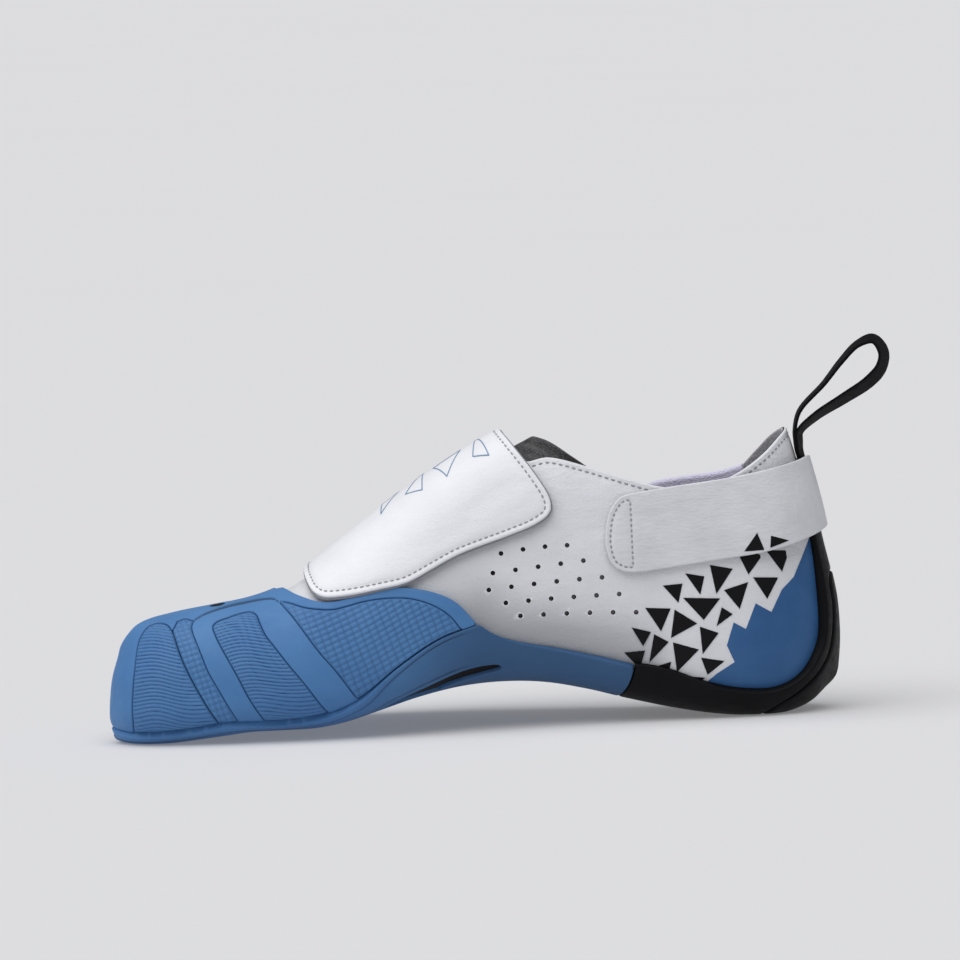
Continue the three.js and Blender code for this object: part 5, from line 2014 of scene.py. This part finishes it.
@dataclass
class HeelStrap:
    """Strap round the back of the heel, sewn down at a tab on each side."""

    finishes: Finishes
    prints: HeelPrint
    stitch_inset: float = 1.7
    tab_end: float = 177.9

    def region(self) -> Region:
        """The strap's outline."""
        back = ((1.08, 0.915), (1.08, 0.648))
        low = side_line("heel_strap_low")
        near = outline(side_line("heel_strap_top"), *back, low, side_line("heel_tab")[1:-1])
        far = outline(side_line("heel_strap_far"), *back, low, side_line("heel_tab_far"))
        return Region(near, far, 0.0, 5.0)

    def seat(self, skin: Skin) -> Array:
        """Distance of the strap's underside from the form."""
        return CLEARANCE + STRAP_SEAT + HEEL_STRAP_LIFT * smoothstep(skin.at, 0.86, 0.965)

    def depth(self, skin: Skin) -> Array:
        """Distance inside the outline, on the strap's outer side."""
        return self.region().depth(skin.raised(self.seat(skin) + HEEL_STRAP_WALL))

    def tab(self, skin: Skin) -> Array:
        """Distance inside the D that the tab's seam follows."""
        return np.minimum(skin.depth - self.stitch_inset, self.tab_end - skin.point[:, 0])

    def outer(self, skin: Skin) -> Array:
        """Distance of the strap's outer side from the form."""
        made = self.seat(skin) + HEEL_STRAP_WALL - rounded(skin.depth, 0.45)
        return made - groove(self.tab(skin), 0.7, 0.32)

    def make(self) -> None:
        """Makes the strap, its seams and its shards."""
        f = self.finishes
        skin = Skin.around((0.62, 1.0), 150, FINE_STEPS)
        skin = skin.trim(self.depth(skin), RIM_LEVELS)
        skin = skin.tag("tab", self.tab(skin)).split("tab")
        outer = self.outer(skin)
        strap = skin.solid("heel_band", outer, self.seat(skin), [f.heel_strap, f.edge])
        settle(strap, "strap_white", "heel_strap")
        chains = skin.seam("tab", 0.0, outer + STITCH_LIFT, 12)
        settle(Seam(f, pitch=1.8, length=1.2, width=0.75).lay("tab_stitches", chains), "webbing_black")
        for side in Side:
            self.make_shards(side)

    def make_shards(self, side: Side) -> None:
        """Prints the shards on the strap's lower edge."""
        skin = self.prints.shard_skin(side, self.prints.strap_shards, lambda s: self.seat(s) + HEEL_STRAP_WALL)
        skin = skin.trim(self.depth(skin) - 0.3)
        outer = self.seat(skin) + HEEL_STRAP_WALL + PRINT_LIFT + FILM
        piece = skin.solid(f"strap_shards_{side.value}", outer, outer - FILM, [self.finishes.black_print])
        settle(piece, "rubber_black")


@dataclass
class PullLoop:
    """Black webbing tape that rises from under the heel strap, makes a loop and comes back."""

    finishes: Finishes
    sides: int = 14
    twist: Line = (
        (0.0, 0.0), (0.3, 3.0), (0.44, 8.0), (0.52, 22.0), (0.6, 30.0), (0.68, 27.0), (0.8, 20.0), (0.9, 12.0),
        (1.0, 0.0),
    )

    def path(self) -> Array:
        """Middle line of the tape in side view."""
        heights = np.linspace(0.76, 0.9, 6) * HEEL_HEIGHT
        back = FORM_FRONT + FORM_LENGTH + FORM.lean(np.ones(6), heights)
        inner = np.stack([back + CLEARANCE + TAPE_WALL / 2, heights], axis=1)
        outer = np.stack([back + CLEARANCE + 1.5 * TAPE_WALL + 0.05, heights], axis=1)[::-1]
        up = np.array([side_point(*p) for p in LINES["loop_up"]])
        down = np.array([side_point(*p) for p in LINES["loop_down"]])
        up[:2, 0] = [inner[-1][0] - 0.3, inner[-1][0] - 0.4]
        down[-2:, 0] = [outer[0][0] + 0.1, outer[0][0] - 0.1]
        return smooth_line(np.concatenate([inner, up[:-1], down[1:], outer]), 8)

    def make(self) -> None:
        """Sweeps the tape's section along its line."""
        line = self.path()
        run = way_along(line)
        share = run / run[-1]
        keys, angles = zip(*self.twist)
        turn = np.radians(np.interp(share, keys, angles))
        along = np.gradient(line, axis=0)
        along /= np.linalg.norm(along, axis=1, keepdims=True)
        around = np.arange(self.sides) * 2 * math.pi / self.sides
        flat = np.sign(np.cos(around)) * np.abs(np.cos(around)) ** 0.35 * TAPE_WIDTH / 2
        thick = np.sign(np.sin(around)) * np.abs(np.sin(around)) ** 0.6 * TAPE_WALL / 2
        points = []
        for (x, z), (dx, dz), angle in zip(line, along, turn):
            out = np.array([-dz, 0.0, dx])
            wide = np.array([0.0, math.cos(angle), 0.0]) + out * math.sin(angle)
            deep = out * math.cos(angle) - np.array([0.0, math.sin(angle), 0.0])
            points.append(np.array([x, 0.0, z]) + flat[:, None] * wide + thick[:, None] * deep)
        ids = np.arange(len(points) * self.sides).reshape(-1, self.sides)
        faces = quads(ids, closed=True) + [tuple(ids[0].tolist())[::-1], tuple(ids[-1].tolist())]
        piece = make_piece("loop_tape", np.concatenate(points), faces, [self.finishes.webbing], crease=60)
        self.map_tape(piece, run)
        settle(piece, "webbing_black", "pull_loop")

    def map_tape(self, piece: Piece, run: Array) -> None:
        """Gives the tape a map with u across it and v along it, in centimetres."""
        layer = piece.data.uv_layers.new(name="tape")
        for loop in piece.data.loops:
            row, column = divmod(loop.vertex_index, self.sides)
            across = abs((column / self.sides) * 2 - 1)
            layer.data[loop.index].uv = (across * TAPE_WIDTH / 10, run[row] / 10)


@dataclass(frozen=True)
class Lamp:
    """Soft far light that comes from a direction and is spread over an angle in degrees."""

    name: str
    towards: tuple[float, float, float]
    spread: float
    power: float

    def make(self) -> None:
        """Hangs the light."""
        data = bpy.data.lights.new(self.name, "SUN")
        data.angle = math.radians(self.spread)
        data.energy = self.power
        lamp = bpy.data.objects.new(self.name, data)
        lamp.location = self.towards
        lamp.rotation_euler = Vector(self.towards).to_track_quat("Z", "Y").to_euler()
        bpy.context.scene.collection.objects.link(lamp)


@dataclass
class Studio:
    """Plain pale floor, soft lights and the camera at the photo's angle."""

    scale: float = 3.0
    tip: Pair = (107.0, 748.8)
    frame_size: float = 960.0
    roll: float = 2.44
    elevation: float = 4.5
    near_side: float = 32.0
    distance: float = 3000.0
    floor_size: float = 60.0
    background: Tone = (199, 199, 201)
    sky: tuple[float, float, float, float] = (0.97, 0.975, 1.0, 1.0)
    sky_strength: float = 0.25
    lamps: tuple[Lamp, ...] = (
        Lamp("top softbox", (-0.2, -0.25, 1.0), 76.0, 2.35),
        Lamp("toe side fill", (-1.0, -0.5, 0.45), 60.0, 0.35),
    )

    def camera(self) -> None:
        """Places the camera so that the toe's tip and the floor's tilt fall where the photo has them."""
        roll, rise = math.radians(self.roll), math.radians(self.elevation)
        right = (self.frame_size / 2 - self.tip[0]) / self.scale
        up = (self.tip[1] - self.frame_size / 2) / self.scale
        along = right * math.cos(roll) + up * math.sin(roll)
        height = -right * math.sin(roll) + up * math.cos(roll)
        aim = Vector((along, -self.near_side, height / math.cos(rise)))
        back = Vector((0.0, -math.cos(rise), math.sin(rise)))
        flat_right = Vector((1.0, 0.0, 0.0))
        flat_up = Vector((0.0, math.sin(rise), math.cos(rise)))
        cam_right = flat_right * math.cos(roll) - flat_up * math.sin(roll)
        cam_up = flat_right * math.sin(roll) + flat_up * math.cos(roll)
        data = bpy.data.cameras.new("photo camera")
        data.sensor_width = 36.0
        data.lens = data.sensor_width * self.distance * self.scale / self.frame_size
        data.clip_start = 0.1
        data.clip_end = 100.0
        camera = bpy.data.objects.new("photo camera", data)
        place = (aim + back * self.distance) * MM + SHIFT
        turn = Matrix((cam_right, cam_up, back)).transposed().to_4x4()
        camera.matrix_world = Matrix.Translation(place) @ turn
        bpy.context.scene.collection.objects.link(camera)
        bpy.context.scene.camera = camera

    def floor(self) -> None:
        """Lays the floor."""
        bpy.ops.object.select_all(action="DESELECT")
        bpy.ops.mesh.primitive_plane_add(size=self.floor_size, location=(0, 0, 0))
        plane = bpy.context.object
        plane.name = "floor"
        plane.data.materials.append(Floor("pale floor", self.background).material())
        plane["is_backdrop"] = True

    def make(self) -> None:
        """Sets up the whole studio."""
        scene = bpy.context.scene
        scene.view_settings.view_transform = "Standard"
        world = bpy.data.worlds.new("studio")
        scene.world = world
        world.use_nodes = True
        sky = world.node_tree.nodes["Background"]
        sky.inputs["Color"].default_value = self.sky
        sky.inputs["Strength"].default_value = self.sky_strength
        for lamp in self.lamps:
            lamp.make()
        self.floor()
        self.camera()


def main() -> None:
    """Builds the shoe and its studio, and reports each piece."""
    logging.basicConfig(level=logging.INFO, format="%(name)s: %(message)s")
    finishes = Finishes()
    ToeCap(finishes).make()
    Sole(finishes).make()
    HeelRubber(finishes).make()
    Upper(finishes).make()
    prints = HeelPrint(finishes)
    prints.make()
    Inside(finishes).make()
    InstepStrap(finishes).make()
    HeelStrap(finishes, prints).make()
    PullLoop(finishes).make()
    Studio().make()
    total = sum(len(p.vertices) - 2 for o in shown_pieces() if o.type == "MESH" for p in o.data.polygons)
    log.info("triangles in all: %d", total)


if __name__ == "__main__":
    main()
